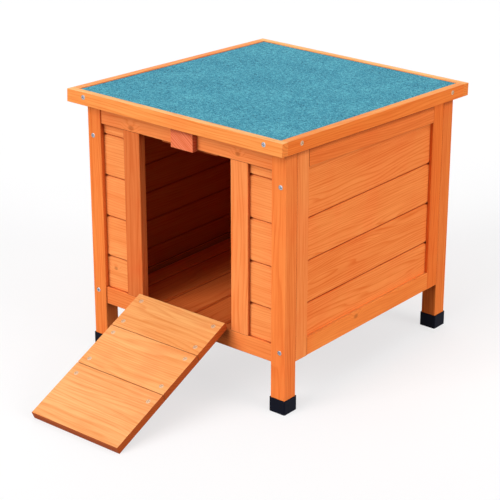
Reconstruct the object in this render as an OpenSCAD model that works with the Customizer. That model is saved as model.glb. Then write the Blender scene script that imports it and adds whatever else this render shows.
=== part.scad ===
// Tortoise house: a small fir hutch with a ramp that closes as its door and a felted pent roof.
// Millimetres. X runs along the front, +Y runs from the ramp to the back, +Z is up.
// The origin is on the ground, in the middle of the whole footprint, ramp included.

/* [House] */
// Width across the outer faces of the posts
body_w = 428; // [360:1:560]
// Depth across the outer faces of the posts
body_d = 468; // [380:1:600]
// Height of the front of the house, from the ground to the underside of the roof
wall_h = 464; // [430:1:560]
// Slope of the roof, which falls towards the back, in degrees
roof_pitch = 2.5; // [0:0.5:5]

/* [Posts and feet] */
// Side of a square corner post
post_side = 29; // [24:1:36]
// Height of a plastic foot cap
foot_cap_h = 25; // [15:1:40]
// Side wall of a foot cap
foot_cap_wall = 1.6; // [1:0.1:2.5]
// Floor of a foot cap, under the post
foot_cap_floor = 3; // [2:0.5:5]
// Corner radius of a foot cap
foot_cap_r = 2.5; // [1:0.5:5]

/* [Wall frames] */
// Height of the lower edge of the bottom rails above the ground
leg_clear = 87; // [60:1:120]
// Height of a bottom rail
bottom_rail_h = 32; // [24:1:45]
// Height of a top rail
top_rail_h = 46; // [38:1:60]
// Width of a side or back wall's stile
wall_stile_w = 30; // [22:1:40]
// Thickness of the side and back walls' frames
wall_frame_t = 18; // [16:0.5:22]
// Thickness of the front wall's frame
front_frame_t = 14; // [14:0.5:20]
// How far the front wall stands behind the front faces of its posts
front_setback = 2.5; // [1:0.5:6]
// Width of the rebate that holds the boards' edges
rebate_w = 8; // [5:0.5:10]
// Length of the tenons on the front wall's frame
tenon_len = 8; // [5:0.5:12]
// Thickness of those tenons
tenon_t = 5; // [3:0.5:6]
// Bevel along the edges of the posts, rails, stiles and ramp boards
arris = 0.8; // [0.5:0.1:1.5]

/* [Doorway] */
// Clear width of the doorway
door_w = 198; // [150:1:220]
// Width of the stiles beside the doorway
door_stile_w = 36; // [28:1:44]
// How far the stop behind the top rail hangs into the doorway
door_stop_lap = 8; // [5:0.5:10]
// Length of the stop
door_stop_len = 120; // [60:1:140]
// Height of the stop
door_stop_h = 18; // [14:0.5:22]
// Thickness of the stop
door_stop_t = 12; // [8:0.5:16]

/* [Boards] */
// Height that one wall board covers
board_cover = 74; // [60:1:90]
// Thickness of the wall and floor boards
board_t = 9; // [8:0.5:10]
// How far the wall boards stand behind the face of their frame
board_recess = 6; // [5:0.5:8]
// Height of the lowest wall joint above the bottom rail
first_joint = 58; // [40:1:70]
// Height that one board of the left wall covers
left_board_cover = 53.5; // [45:0.5:90]
// Height of the lowest joint of the left wall above the bottom rail
left_first_joint = 29; // [24:1:70]
// Length of a board's tongue
tongue_len = 5; // [3:0.5:6]
// Thickness of a board's tongue
tongue_t = 3; // [2:0.5:3.5]
// Bevel on the face edges of a board
board_bevel = 2; // [0.5:0.1:2.4]
// Bevel on the edges of a wall board's inner face
board_back_bevel = 1; // [0.5:0.1:1.5]
// Gap between neighbouring boards
joint_gap = 0.5; // [0.3:0.1:1]
// Side of the square cleats that carry the short boards at the front posts
cleat_side = 12; // [8:1:16]

/* [Floor] */
// How far the floor lies below the top of the bottom rails
floor_drop = 15; // [10:1:20]
// Width that one floor board covers
floor_cover = 70; // [55:1:90]
// Gap between the floor and the side walls
floor_edge_gap = 3; // [1:0.5:5]
// Height of a floor bearer
bearer_h = 8; // [5:0.5:8]
// Width of a floor bearer
bearer_w = 30; // [20:1:40]

/* [Roof] */
// Overhang of the roof at each side, measured to the outside of its trim
roof_side_over = 16; // [15:0.5:26]
// Overhang of the roof at the front
roof_front_over = 30.5; // [28:0.5:45]
// Overhang of the roof at the back
roof_back_over = 21; // [20:0.5:22]
// Thickness of the trim boards round the roof
trim_t = 14; // [11:0.5:14]
// Height of the trim boards
trim_h = 22; // [20:0.5:32]
// How far the trim hangs below the underside of the roof panel
trim_drop = 9; // [7:0.5:11]
// Thickness of the roof panel
roof_panel_t = 9; // [6:0.5:10]
// Thickness of the roofing felt
felt_t = 2.5; // [1.5:0.5:3]
// Gap between the closed roof and the walls
roof_seat_gap = 0.3; // [0.2:0.1:0.6]
// Distance of the trim screws from the ends of the front and back trim
trim_screw_inset = 37; // [25:1:60]
// Distance of the side trim's screws from the front and back of the roof
side_trim_screw_inset = 49; // [30:1:80]

/* [Ramp] */
// Gap between the closed ramp and the top rail
ramp_head_gap = 6.3; // [5:0.1:8]
// Gap between the closed ramp and each door stile
ramp_side_gap = 3.5; // [2:0.5:6]
// Thickness of the ramp's boards
ramp_board_t = 13.5; // [10:0.5:13.5]
// Thickness of the battens under the ramp's boards
ramp_batten_t = 6; // [5:0.5:8]
// Width of those battens
ramp_batten_w = 18; // [14:1:20]
// How far the battens lie inside the ramp's sides
ramp_batten_in = 6; // [5:0.5:8]
// How far the battens stop short of the ramp's free end
ramp_batten_short = 28; // [20:1:40]
// Length of ramp that the first board covers, from the hinges
ramp_board_1 = 78; // [70:1:85]
// Length of ramp that the second board covers
ramp_board_2 = 92; // [75:1:95]
// Gap between the ramp's boards
ramp_board_gap = 1.2; // [0.5:0.1:2]
// Gap between the closed ramp and the bottom rail
ramp_foot_gap = 2.5; // [2:0.1:4]

/* [Hinges] */
// Outer radius of a hinge knuckle
knuckle_r = 3; // [2.6:0.1:3.5]
// Radius of a hinge pin
hinge_pin_r = 1.4; // [1:0.1:1.6]
// Radial clearance of the pins in their knuckles
pin_fit = 0.05; // [0.03:0.01:0.08]
// Thickness of a hinge leaf
leaf_t = 1.2; // [0.8:0.1:1.4]
// Width of a hinge leaf, from the pin's axis
leaf_w = 16; // [14:0.5:18]
// Length of a roof hinge
roof_hinge_len = 40; // [30:1:60]
// Distance of the roof hinges' middles from the stiles of the back wall
roof_hinge_in = 15; // [14:0.5:50]
// Length of a ramp hinge
ramp_hinge_len = 26; // [22:1:30]
// Gap between the ramp's hinges and its battens
ramp_hinge_in = 8.5; // [2:0.5:12]
// Gap along the pin between neighbouring knuckles
knuckle_gap = 0.3; // [0.2:0.1:0.5]

/* [Turn button] */
// Width of the turn button
button_w = 47; // [40:1:50]
// Height of the turn button
button_h = 44.5; // [40:0.5:45]
// Thickness of the turn button
button_t = 11; // [8:0.5:12]
// How far the button hangs below the top rail while it is turned out of the way
button_lap = 2; // [1:0.5:3]
// Height of the pivot above the lower edge of the button
button_pivot_up = 24.5; // [23:0.5:26]
// Distance of the pivot from the right end of the button
button_pivot_in = 11.5; // [10:0.5:14]
// Place of the button's middle, to the right of the doorway's middle
button_x = 6; // [-10:1:20]
// Radius of the pivot screw
button_screw_r = 2; // [1.5:0.1:2.5]
// Wood left in front of the pivot screw's tip
button_screw_spare = 3; // [2:0.5:5]
// Gap between the button and the rail
button_gap = 0.4; // [0.3:0.1:0.8]

/* [Screws] */
// Radius of a wood screw's head
screw_head_r = 4; // [3:0.1:4.5]
// Height of a wood screw's head
screw_head_t = 1.4; // [1:0.1:2]
// Radius of a wood screw's shank
screw_r = 1.6; // [1.2:0.1:2]
// Wood left between the tips of the post screws and the wall boards
post_screw_spare = 3; // [1:0.5:4]
// Distance of the post screws from the outside of the house
post_screw_inset = 11; // [9:0.5:12]
// Height of the lower post screws above the ground
post_screw_low = 109; // [100:1:115]
// Height of the upper post screws above the ground
post_screw_high = 394; // [380:1:400]
// Length of a trim screw
trim_screw_len = 32; // [25:1:40]
// Length of a ramp screw
ramp_screw_len = 17; // [14:0.5:17]
// Radius of a hinge screw's head
hinge_screw_head_r = 2.6; // [2:0.1:3]
// Radius of a hinge screw's shank
hinge_screw_r = 1.2; // [1:0.1:1.4]
// Length of a hinge screw
hinge_screw_len = 6; // [5:0.5:6.5]
// Radius of a dowel in the back wall
dowel_r = 3; // [2.5:0.5:4]
// Length of such a dowel
dowel_len = 24; // [16:1:26]
// Radial clearance of screws and dowels in their holes
hole_fit = 0.05; // [0.03:0.01:0.1]
// Clearance of tenons, laps and boards in what holds them
wood_fit = 0.2; // [0.1:0.05:0.4]

/* [Hidden] */

$fn = 48;
eps = 0.01;
far = 2000;

// Colours of the finishes
fir_front = "#F58F48";
fir_side = "#E87C3A";
fir_top = "#FDB36E";
felt_blue = "#56A5B8";
plastic_black = "#141A28";
zinc = "#C9CDD6";
panel_tan = "#C98C54";
button_wood = "#EE8058";

// Heights that the walls share
half_w = body_w / 2;
rail_top = leg_clear + bottom_rail_h;
function roof_z(y) = wall_h - y * tan(roof_pitch);
lintel_z = roof_z(front_setback) - top_rail_h;
floor_top = rail_top - floor_drop;
floor_bottom = floor_top - board_t;

// A panel's joints, from the lowest up, as far as the given height
function joints(first, cover, top) = [for (z = rail_top + first; z < top - board_bevel * 4; z = z + cover) z];

// Door stiles and the short boards beside them
door_half = door_w / 2;
stile_out = door_half + door_stile_w;
post_in = half_w - post_side;

// Hinge axis of the ramp, in the closed house's own coordinates
ramp_axis_y = front_setback - knuckle_r;
ramp_axis_z = rail_top + ramp_foot_gap / 2;
ramp_foot_z = rail_top + ramp_foot_gap;
ramp_len = lintel_z - ramp_head_gap - ramp_foot_z;
ramp_half = door_half - ramp_side_gap;
// The open ramp's free end touches the ground, which sets how far it opens
ramp_reach = ramp_foot_gap / 2 + ramp_len;
ramp_radius = norm([knuckle_r, ramp_reach]);
ramp_open = atan2(knuckle_r, ramp_reach) + acos(-ramp_axis_z / ramp_radius);
ramp_batten_x = ramp_half - ramp_batten_in - ramp_batten_w / 2;
ramp_hinge_x = ramp_batten_x - ramp_batten_w / 2 - ramp_hinge_in - ramp_hinge_len / 2;
ramp_batten_s = [2, ramp_len - ramp_batten_short];

// Roof, in coordinates that start at the top of the front wall's face and follow the slope
roof_front = -roof_front_over;
roof_back = body_d / cos(roof_pitch) + roof_back_over;
roof_half = half_w + roof_side_over;
trim_top = trim_h - trim_drop;
// Hinge axis of the roof: one knuckle radius below the back trim and behind the back wall
roof_axis_z = -trim_drop - knuckle_r;
roof_axis_y = (body_d + knuckle_r - (roof_axis_z + roof_seat_gap) * sin(roof_pitch)) / cos(roof_pitch);
roof_axis_house_y = body_d + knuckle_r;
roof_axis_house_z = wall_h - roof_axis_y * sin(roof_pitch) + (roof_axis_z + roof_seat_gap) * cos(roof_pitch);

// Ends of the whole footprint, ramp and roof, which set the origin
ramp_end_y = ramp_axis_y + (knuckle_r + ramp_board_t) * cos(ramp_open) - ramp_reach * sin(ramp_open);
roof_end_y = roof_back * cos(roof_pitch) + (trim_top + roof_seat_gap) * sin(roof_pitch);
centre_y = (ramp_end_y + roof_end_y) / 2;

// Turn button, whose pivot stays put while its long end swings down
button_low = lintel_z - button_lap;
button_left = button_x - button_w / 2;
button_pivot_x = button_left + button_w - button_pivot_in;
button_pivot_z = button_low + button_pivot_up;
button_back = front_setback - button_gap;

// Where the screws go
post_screw_x = half_w - post_screw_inset;
post_screw_len = post_side + wall_stile_w - rebate_w - post_screw_spare;
post_screw_zs = [post_screw_low, post_screw_high];
trim_screw_z = roof_panel_t / 2;
ramp_screw_edge = 14;
ramp_screw_s = [
    ramp_screw_edge, ramp_board_1 - ramp_screw_edge,
    ramp_board_1 + ramp_screw_edge, ramp_board_1 + ramp_board_2 - ramp_screw_edge,
    ramp_board_1 + ramp_board_2 + 1.5 * ramp_screw_edge
];
// The lower board's second pair of screws comes from below, close to the battens' ends
ramp_under_screw_s = ramp_batten_s[1] - ramp_screw_edge;
dowel_zs = [leg_clear + bottom_rail_h / 2, (rail_top + lintel_z) / 2, lintel_z - top_rail_h / 2];

module house() {
    translate([0, -centre_y, 0]) children();
}

// Roof coordinates, lifted by the seat gap
module on_roof() {
    translate([0, 0, wall_h]) rotate([-roof_pitch, 0, 0]) translate([0, 0, roof_seat_gap]) children();
}

// Everything below the roof's underside
module under_roof() {
    intersection() {
        children();
        translate([0, 0, wall_h]) rotate([-roof_pitch, 0, 0])
            translate([-far / 2, -far / 2, -far]) cube([far, far, far]);
    }
}

// Ramp coordinates: the closed ramp, turned down about its hinge axis
module on_ramp() {
    translate([0, ramp_axis_y, ramp_axis_z]) rotate([ramp_open, 0, 0])
        translate([0, -ramp_axis_y, -ramp_axis_z]) children();
}

// Wall coordinates: X along the wall, Y into the house, Z up
module right_wall() {
    translate([half_w, 0, 0]) rotate([0, 0, 90]) children();
}

module left_wall() {
    mirror([1, 0, 0]) right_wall() children();
}

module back_wall() {
    translate([half_w, body_d, 0]) rotate([0, 0, 180]) children();
}

// A bar between two corners
module bar(low, high) {
    translate(low) cube(high - low);
}

// A section drawn in depth and height, run along X from x0 to x1
module run_x(x0, x1) {
    translate([x0, 0, 0]) rotate([90, 0, 90]) linear_extrude(x1 - x0) children();
}

// Outlines of bars whose edges are planed off: a post, a stile and a rail with their outer face at y0
function planed_post(x, y) = [
    [x + arris, y], [x + post_side - arris, y],
    [x + post_side, y + arris], [x + post_side, y + post_side - arris],
    [x + post_side - arris, y + post_side], [x + arris, y + post_side],
    [x, y + post_side - arris], [x, y + arris]
];

function planed_stile(x0, x1, y0, y1) = [
    [x0 + arris, y0], [x1 - arris, y0], [x1, y0 + arris],
    [x1, y1], [x0, y1], [x0, y0 + arris]
];

function planed_rail(y0, y1, z0, z1) = [
    [y0, z0 + arris], [y0 + arris, z0], [y1, z0],
    [y1, z1], [y0 + arris, z1], [y0, z1 - arris]
];

// An outline drawn in plan, raised from z0 to z1
module raise(z0, z1) {
    translate([0, 0, z0]) linear_extrude(z1 - z0) children();
}

// An outline drawn in X and height, run in depth from y0 to y1
module run_y(y0, y1) {
    translate([0, y1, 0]) rotate([90, 0, 0]) linear_extrude(y1 - y0) children();
}

// Corner post with its cap

module post_bar(x, y) {
    raise(foot_cap_floor, wall_h + post_side) polygon(planed_post(x, y));
}

module post_screw_holes() {
    for (side = [-1, 1], z = post_screw_zs) {
        translate([side * post_screw_x, 0, z]) rotate([90, 0, 0]) screw_space(post_screw_len);
        translate([side * post_screw_x, body_d, z]) rotate([-90, 0, 0]) screw_space(post_screw_len);
    }
}

module front_rail_mortises() {
    bar(
        [-post_in - tenon_len - wood_fit, front_tenon_y - wood_fit, front_low_tenon[0] - wood_fit],
        [post_in + tenon_len + wood_fit, front_tenon_y + tenon_t + wood_fit, front_low_tenon[1] + wood_fit]
    );
    bar(
        [-post_in - tenon_len - wood_fit, front_tenon_y - wood_fit, front_high_tenon[0] - wood_fit],
        [post_in + tenon_len + wood_fit, front_tenon_y + tenon_t + wood_fit, front_high_tenon[1] + wood_fit]
    );
}

module dowel_bores() {
    for (side = [-1, 1], z = dowel_zs)
        translate([side * post_in - dowel_len / 2 - 1, body_d - wall_frame_t / 2, z])
            rotate([0, 90, 0]) cylinder(r = dowel_r + hole_fit, h = dowel_len + 2);
}

module post(x, y) {
    color(fir_front) house() difference() {
        under_roof() post_bar(x, y);
        post_screw_holes();
        front_rail_mortises();
        dowel_bores();
    }
}

module rounded_square(side, r) {
    translate([0, r]) square([side, side - 2 * r]);
    translate([r, 0]) square([side - 2 * r, side]);
    for (px = [r, side - r], py = [r, side - r]) translate([px, py]) circle(r);
}

module foot_cap(x, y) {
    cap_side = post_side + 2 * foot_cap_wall + 2 * wood_fit;
    cap_edge = foot_cap_wall + wood_fit;
    color(plastic_black) house() difference() {
        translate([x - cap_edge, y - cap_edge, 0])
            linear_extrude(foot_cap_h) rounded_square(cap_side, foot_cap_r);
        bar(
            [x - wood_fit, y - wood_fit, foot_cap_floor],
            [x + post_side + wood_fit, y + post_side + wood_fit, foot_cap_h + 1]
        );
    }
}

module front_left_post() { post(-half_w, 0); }
module front_right_post() { post(post_in, 0); }
module rear_left_post() { post(-half_w, body_d - post_side); }
module rear_right_post() { post(post_in, body_d - post_side); }
module front_left_foot_cap() { foot_cap(-half_w, 0); }
module front_right_foot_cap() { foot_cap(post_in, 0); }
module rear_left_foot_cap() { foot_cap(-half_w, body_d - post_side); }
module rear_right_foot_cap() { foot_cap(post_in, body_d - post_side); }

// Tongued and grooved boards

// Section of one board in depth and height, between the joints z0 and z1
module board_section(z0, z1, has_groove, has_tongue) {
    lo = z0 + joint_gap / 2;
    hi = z1 - joint_gap / 2;
    mid = board_recess + board_t / 2;
    front = board_recess;
    back = board_recess + board_t;
    groove_half = tongue_t / 2 + wood_fit;
    groove = has_groove ? [
        [mid - groove_half, lo], [mid - groove_half, lo + tongue_len],
        [mid + groove_half, lo + tongue_len], [mid + groove_half, lo]
    ] : [];
    tongue = has_tongue ? [
        [mid + tongue_t / 2, hi], [mid + tongue_t / 2, hi + tongue_len],
        [mid - tongue_t / 2, hi + tongue_len], [mid - tongue_t / 2, hi]
    ] : [];
    polygon(concat(
        [[front, lo + board_bevel], [front + board_bevel, lo]],
        groove,
        [[back - board_back_bevel, lo], [back, lo + board_back_bevel]],
        [[back, hi - board_back_bevel], [back - board_back_bevel, hi]],
        tongue,
        [[front + board_bevel, hi], [front, hi - board_bevel]]
    ));
}

// A stack of boards from x0 to x1, with the lowest edge at low and the last one ending at high
module board_stack(x0, x1, low, seams, high) {
    edges = concat([low], seams, [high]);
    last = len(edges) - 2;
    for (i = [0 : last])
        run_x(x0, x1) board_section(edges[i], edges[i + 1], i > 0, i < last);
}

// Side and back walls: two stiles with a rebated edge, two rails lapped into them, and the boards

panel_low = rail_top - rebate_w + wood_fit;

module stile(x0, rebate_after) {
    rebate_x = rebate_after ? x0 + wall_stile_w - rebate_w : x0;
    difference() {
        raise(leg_clear, wall_h + wall_stile_w) polygon(planed_stile(x0, x0 + wall_stile_w, 0, wall_frame_t));
        bar([rebate_x - (rebate_after ? 0 : 1), board_recess, leg_clear - 1],
            [rebate_x + rebate_w + (rebate_after ? 1 : 0), wall_frame_t + 1, wall_h + 2 * wall_stile_w]);
    }
}

module bottom_rail(x0, x1) {
    run_x(x0, x1) difference() {
        polygon(planed_rail(0, wall_frame_t, leg_clear, rail_top));
        translate([board_recess, rail_top - rebate_w]) square(wall_frame_t);
    }
    bar(
        [x0 - rebate_w + wood_fit, board_recess, leg_clear],
        [x1 + rebate_w - wood_fit, wall_frame_t, rail_top - rebate_w]
    );
}

// A top rail whose lower edge lies parallel to the roof; z0 and z1 are its top at its two ends
module sloping_rail_outline(x0, x1, lower, edge) {
    polygon([
        [x0 - edge, side_z(x0 - edge) + 2 * top_rail_h], [x1 + edge, side_z(x1 + edge) + 2 * top_rail_h],
        [x1 + edge, side_z(x1 + edge) - top_rail_h + lower],
        [x0 - edge, side_z(x0 - edge) - top_rail_h + lower]
    ]);
}

function side_z(x) = roof_z(x);

side_x0 = post_side + wall_stile_w;
side_x1 = body_d - post_side - wall_stile_w;

module side_top_rail() {
    run_y(0, board_recess) sloping_rail_outline(side_x0, side_x1, 0, 0);
    run_y(0, wall_frame_t) sloping_rail_outline(side_x0, side_x1, rebate_w, 0);
    run_y(board_recess, wall_frame_t) sloping_rail_outline(side_x0, side_x1, rebate_w, rebate_w - wood_fit);
}

// The top of the side walls' panels runs parallel to the roof, inside the top rail's rebate
module below_side_rail() {
    intersection() {
        children();
        run_y(0, wall_frame_t + 1) polygon([
            [0, 0], [body_d, 0],
            [body_d, side_z(body_d) - top_rail_h + rebate_w - wood_fit],
            [0, side_z(0) - top_rail_h + rebate_w - wood_fit]
        ]);
    }
}

// The top board is cut to the slope, and no joint runs into the top rail's lower edge
module side_boards(first, cover) {
    below_side_rail() board_stack(
        side_x0 - rebate_w + wood_fit, side_x1 + rebate_w - wood_fit,
        panel_low, joints(first, cover, side_z(side_x1) - top_rail_h), wall_h - top_rail_h + rebate_w
    );
}

module right_wall_front_stile() {
    color(fir_side) house() difference() {
        under_roof() right_wall() stile(post_side, true);
        post_screw_holes();
    }
}

module right_wall_rear_stile() {
    color(fir_side) house() difference() {
        under_roof() right_wall() stile(side_x1, false);
        post_screw_holes();
    }
}

module right_wall_top_rail() {
    color(fir_side) house() under_roof() right_wall() side_top_rail();
}

module right_wall_bottom_rail() {
    color(fir_side) house() right_wall() bottom_rail(side_x0, side_x1);
}

module right_wall_boards() {
    color(fir_side) house() right_wall() side_boards(first_joint, board_cover);
}

module left_wall_front_stile() { mirror([1, 0, 0]) right_wall_front_stile(); }
module left_wall_rear_stile() { mirror([1, 0, 0]) right_wall_rear_stile(); }
module left_wall_top_rail() { mirror([1, 0, 0]) right_wall_top_rail(); }
module left_wall_bottom_rail() { mirror([1, 0, 0]) right_wall_bottom_rail(); }

module left_wall_boards() {
    color(fir_side) house() left_wall() side_boards(left_first_joint, left_board_cover);
}

// Back wall, whose rails lie level

back_x0 = post_side + wall_stile_w;
back_x1 = body_w - post_side - wall_stile_w;
back_rail_low = roof_z(body_d) - top_rail_h;

module back_wall_left_stile() {
    color(fir_side) house() difference() {
        under_roof() back_wall() stile(back_x1, false);
        dowel_bores();
    }
}

module back_wall_right_stile() {
    color(fir_side) house() difference() {
        under_roof() back_wall() stile(post_side, true);
        dowel_bores();
    }
}

module back_wall_top_rail() {
    color(fir_side) house() difference() {
        under_roof() back_wall() {
            run_x(back_x0, back_x1) difference() {
                polygon(planed_rail(0, wall_frame_t, back_rail_low, wall_h));
                translate([board_recess, back_rail_low - rebate_w]) square([wall_frame_t, 2 * rebate_w]);
            }
            bar(
                [back_x0 - rebate_w + wood_fit, board_recess, back_rail_low + rebate_w],
                [back_x1 + rebate_w - wood_fit, wall_frame_t, wall_h]
            );
        }
        roof_fixed_screw_holes();
    }
}

module back_wall_bottom_rail() {
    color(fir_side) house() back_wall() bottom_rail(back_x0, back_x1);
}

module back_wall_boards() {
    color(fir_side) house() back_wall() board_stack(
        back_x0 - rebate_w + wood_fit, back_x1 + rebate_w - wood_fit,
        panel_low, joints(first_joint, board_cover, back_rail_low), back_rail_low + rebate_w - wood_fit
    );
}

module back_wall_dowels() {
    color(fir_top) house() for (side = [-1, 1], z = dowel_zs)
        translate([side * post_in - dowel_len / 2, body_d - wall_frame_t / 2, z])
            rotate([0, 90, 0]) cylinder(r = dowel_r, h = dowel_len);
}

// Front wall: two rails tenoned into the posts, and two door stiles tenoned into the rails

front_y0 = front_setback;
front_y1 = front_setback + front_frame_t;
front_lip = front_setback + board_recess;
front_tenon_y = front_setback + 3;
// Heights of the rails' tenons, each one shorter than its rail
front_low_tenon = [leg_clear + tenon_len, rail_top - rebate_w - tenon_len / 2];
front_high_tenon = [
    lintel_z + rebate_w + tenon_len / 2,
    lintel_z + top_rail_h - tenon_len - post_side * tan(roof_pitch)
];
stile_tenon_w = door_stile_w / 2;
stile_tenon_x = door_half + door_stile_w / 4;

module stile_tenons(fit) {
    for (side = [-1, 1])
        bar(
            [
                side * (stile_tenon_x + stile_tenon_w / 2) - stile_tenon_w / 2 - fit,
                front_tenon_y - fit, rail_top - tenon_len - fit
            ],
            [
                side * (stile_tenon_x + stile_tenon_w / 2) + stile_tenon_w / 2 + fit,
                front_tenon_y + tenon_t + fit, lintel_z + tenon_len + fit
            ]
        );
}

// The rebates that take the short boards' ends lie between the posts and the door stiles only
module short_board_rebate(z0, z1) {
    for (side = [-1, 1])
        bar(
            [
                side * (post_in + stile_out - rebate_w) / 2 - (post_in - stile_out + rebate_w) / 2,
                front_lip, z0
            ],
            [
                side * (post_in + stile_out - rebate_w) / 2 + (post_in - stile_out + rebate_w) / 2,
                front_y1 + 1, z1
            ]
        );
}

module front_bottom_rail() {
    color(fir_front) house() difference() {
        union() {
            run_x(-post_in, post_in) polygon(planed_rail(front_y0, front_y1, leg_clear, rail_top));
            bar([-post_in - tenon_len, front_tenon_y, front_low_tenon[0]],
                [post_in + tenon_len, front_tenon_y + tenon_t, front_low_tenon[1]]);
        }
        short_board_rebate(rail_top - rebate_w, rail_top + 1);
        stile_tenons(wood_fit);
        ramp_fixed_screw_holes();
    }
}

module front_top_rail() {
    color(fir_front) house() difference() {
        under_roof() union() {
            run_x(-post_in, post_in) polygon(planed_rail(front_y0, front_y1, lintel_z, wall_h + 2 * arris));
            bar([-post_in - tenon_len, front_tenon_y, front_high_tenon[0]],
                [post_in + tenon_len, front_tenon_y + tenon_t, front_high_tenon[1]]);
        }
        short_board_rebate(lintel_z - 1, lintel_z + rebate_w);
        stile_tenons(wood_fit);
        button_screw_hole();
    }
}

module door_stile(side) {
    rebate_x = side * (stile_out - rebate_w / 2);
    color(fir_front) house() {
        difference() {
            raise(rail_top, lintel_z) polygon(planed_stile(
                side * (door_half + stile_out) / 2 - door_stile_w / 2,
                side * (door_half + stile_out) / 2 + door_stile_w / 2, front_y0, front_y1
            ));
            bar([rebate_x - rebate_w / 2 - (side < 0 ? 1 : 0), front_lip, rail_top - 1],
                [rebate_x + rebate_w / 2 + (side > 0 ? 1 : 0), front_y1 + 1, lintel_z + 1]);
        }
        intersection() {
            stile_tenons(0);
            translate([side > 0 ? 0 : -far, 0, 0]) cube([far, far, far]);
        }
    }
}

module left_door_stile() { door_stile(-1); }
module right_door_stile() { door_stile(1); }

module door_stop() {
    color(fir_front) house()
        bar([-door_stop_len / 2, front_y1, lintel_z - door_stop_lap],
            [door_stop_len / 2, front_y1 + door_stop_t, lintel_z - door_stop_lap + door_stop_h]);
}

// The short boards run from the post to the rebate in the door stile
module short_boards(side) {
    color(fir_front) house() mirror([side < 0 ? 1 : 0, 0, 0]) translate([0, front_setback, 0])
        board_stack(
            stile_out - rebate_w + wood_fit, post_in,
            panel_low, joints(first_joint, board_cover, lintel_z + rebate_w), lintel_z + rebate_w - wood_fit
        );
}

module front_left_boards() { short_boards(-1); }
module front_right_boards() { short_boards(1); }

module front_board_cleats() {
    cleat_y = front_lip + board_t;
    color(fir_front) house() for (side = [-1, 1])
        bar([side * (post_in - cleat_side / 2) - cleat_side / 2, cleat_y, rail_top],
            [side * (post_in - cleat_side / 2) + cleat_side / 2, cleat_y + cleat_side, lintel_z]);
}

// Floor: boards from front to back, notched round the posts, on bearers between the side rails

module floor_section(x0, x1, has_groove, has_tongue) {
    lo = x0 + joint_gap / 2;
    hi = x1 - joint_gap / 2;
    mid = floor_bottom + board_t / 2;
    groove_half = tongue_t / 2 + wood_fit;
    groove = has_groove ? [
        [lo, mid - groove_half], [lo + tongue_len, mid - groove_half],
        [lo + tongue_len, mid + groove_half], [lo, mid + groove_half]
    ] : [];
    tongue = has_tongue ? [
        [hi, mid + tongue_t / 2], [hi + tongue_len, mid + tongue_t / 2],
        [hi + tongue_len, mid - tongue_t / 2], [hi, mid - tongue_t / 2]
    ] : [];
    polygon(concat(
        [[lo, floor_bottom]],
        groove,
        [[lo, floor_top - board_bevel], [lo + board_bevel, floor_top]],
        [[hi - board_bevel, floor_top], [hi, floor_top - board_bevel]],
        tongue,
        [[hi, floor_bottom]]
    ));
}

floor_left = -half_w + wall_frame_t + floor_edge_gap;
floor_right = -floor_left;
// Whole boards are laid from the right, and the last one is ripped to fit at the left
floor_edges = [for (x = floor_right; x > floor_left + floor_cover / 6; x = x - floor_cover) x];
floor_y0 = front_y1 + 1;
floor_y1 = body_d - wall_frame_t - 1;

module post_notches() {
    for (x = [-half_w, post_in], y = [0, body_d - post_side])
        bar([x - 1, y - 1, floor_bottom - 1], [x + post_side + 1, y + post_side + 1, floor_top + 1]);
}

module floor_boards() {
    count = len(floor_edges);
    color(fir_front) house() difference() {
        for (i = [0 : count - 1])
            run_y(floor_y0, floor_y1)
                floor_section(
                    i < count - 1 ? floor_edges[i + 1] : floor_left, floor_edges[i], i < count - 1, i > 0
                );
        post_notches();
    }
}

module floor_bearers() {
    bearer_half = half_w - wall_frame_t;
    bearer_ys = [post_side + 1, (body_d - bearer_w) / 2, body_d - post_side - bearer_w - 1];
    color(fir_side) house() for (y = bearer_ys)
        bar([-bearer_half, y, floor_bottom - bearer_h], [bearer_half, y + bearer_w, floor_bottom]);
}

// Roof: a panel with felt on it, framed by four trim boards

module trim_screw_places() {
    for (side = [-1, 1]) {
        translate([side * (roof_half - trim_screw_inset), roof_front, trim_screw_z])
            rotate([90, 0, 0]) children();
        translate([side * (roof_half - trim_screw_inset), roof_back, trim_screw_z])
            rotate([-90, 0, 0]) children();
        for (y = [roof_front + side_trim_screw_inset, roof_back - side_trim_screw_inset])
            translate([side * roof_half, y, trim_screw_z]) rotate([0, side * 90, 0]) children();
    }
}

module roof_front_trim() {
    color(fir_front) house() on_roof() difference() {
        bar([-roof_half, roof_front, -trim_drop], [roof_half, roof_front + trim_t, trim_top]);
        trim_screw_places() screw_space(trim_screw_len);
    }
}

module roof_back_trim() {
    color(fir_front) house() on_roof() difference() {
        bar([-roof_half, roof_back - trim_t, -trim_drop], [roof_half, roof_back, trim_top]);
        trim_screw_places() screw_space(trim_screw_len);
        roof_moving_screw_holes();
    }
}

module roof_right_trim() {
    color(fir_side) house() on_roof() difference() {
        bar(
            [roof_half - trim_t, roof_front + trim_t, -trim_drop],
            [roof_half, roof_back - trim_t, trim_top]
        );
        trim_screw_places() screw_space(trim_screw_len);
    }
}

module roof_left_trim() { mirror([1, 0, 0]) roof_right_trim(); }

module roof_panel() {
    color(panel_tan) house() on_roof() difference() {
        bar(
            [-roof_half + trim_t, roof_front + trim_t, 0],
            [roof_half - trim_t, roof_back - trim_t, roof_panel_t]
        );
        trim_screw_places() screw_space(trim_screw_len);
    }
}

module roofing_felt() {
    color(felt_blue) house() on_roof()
        bar([-roof_half + trim_t, roof_front + trim_t, roof_panel_t],
            [roof_half - trim_t, roof_back - trim_t, roof_panel_t + felt_t]);
}

// Screws, with the head flush with the wood at Z 0 and the shank along -Z

module screw_form(head_r, head_t, shank_r, length) {
    translate([0, 0, -head_t]) cylinder(r = head_r, h = head_t);
    translate([0, 0, -length]) cylinder(r = shank_r, h = length - head_t + eps);
}

module screw(length) {
    screw_form(screw_head_r, screw_head_t, screw_r, length);
}

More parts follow.
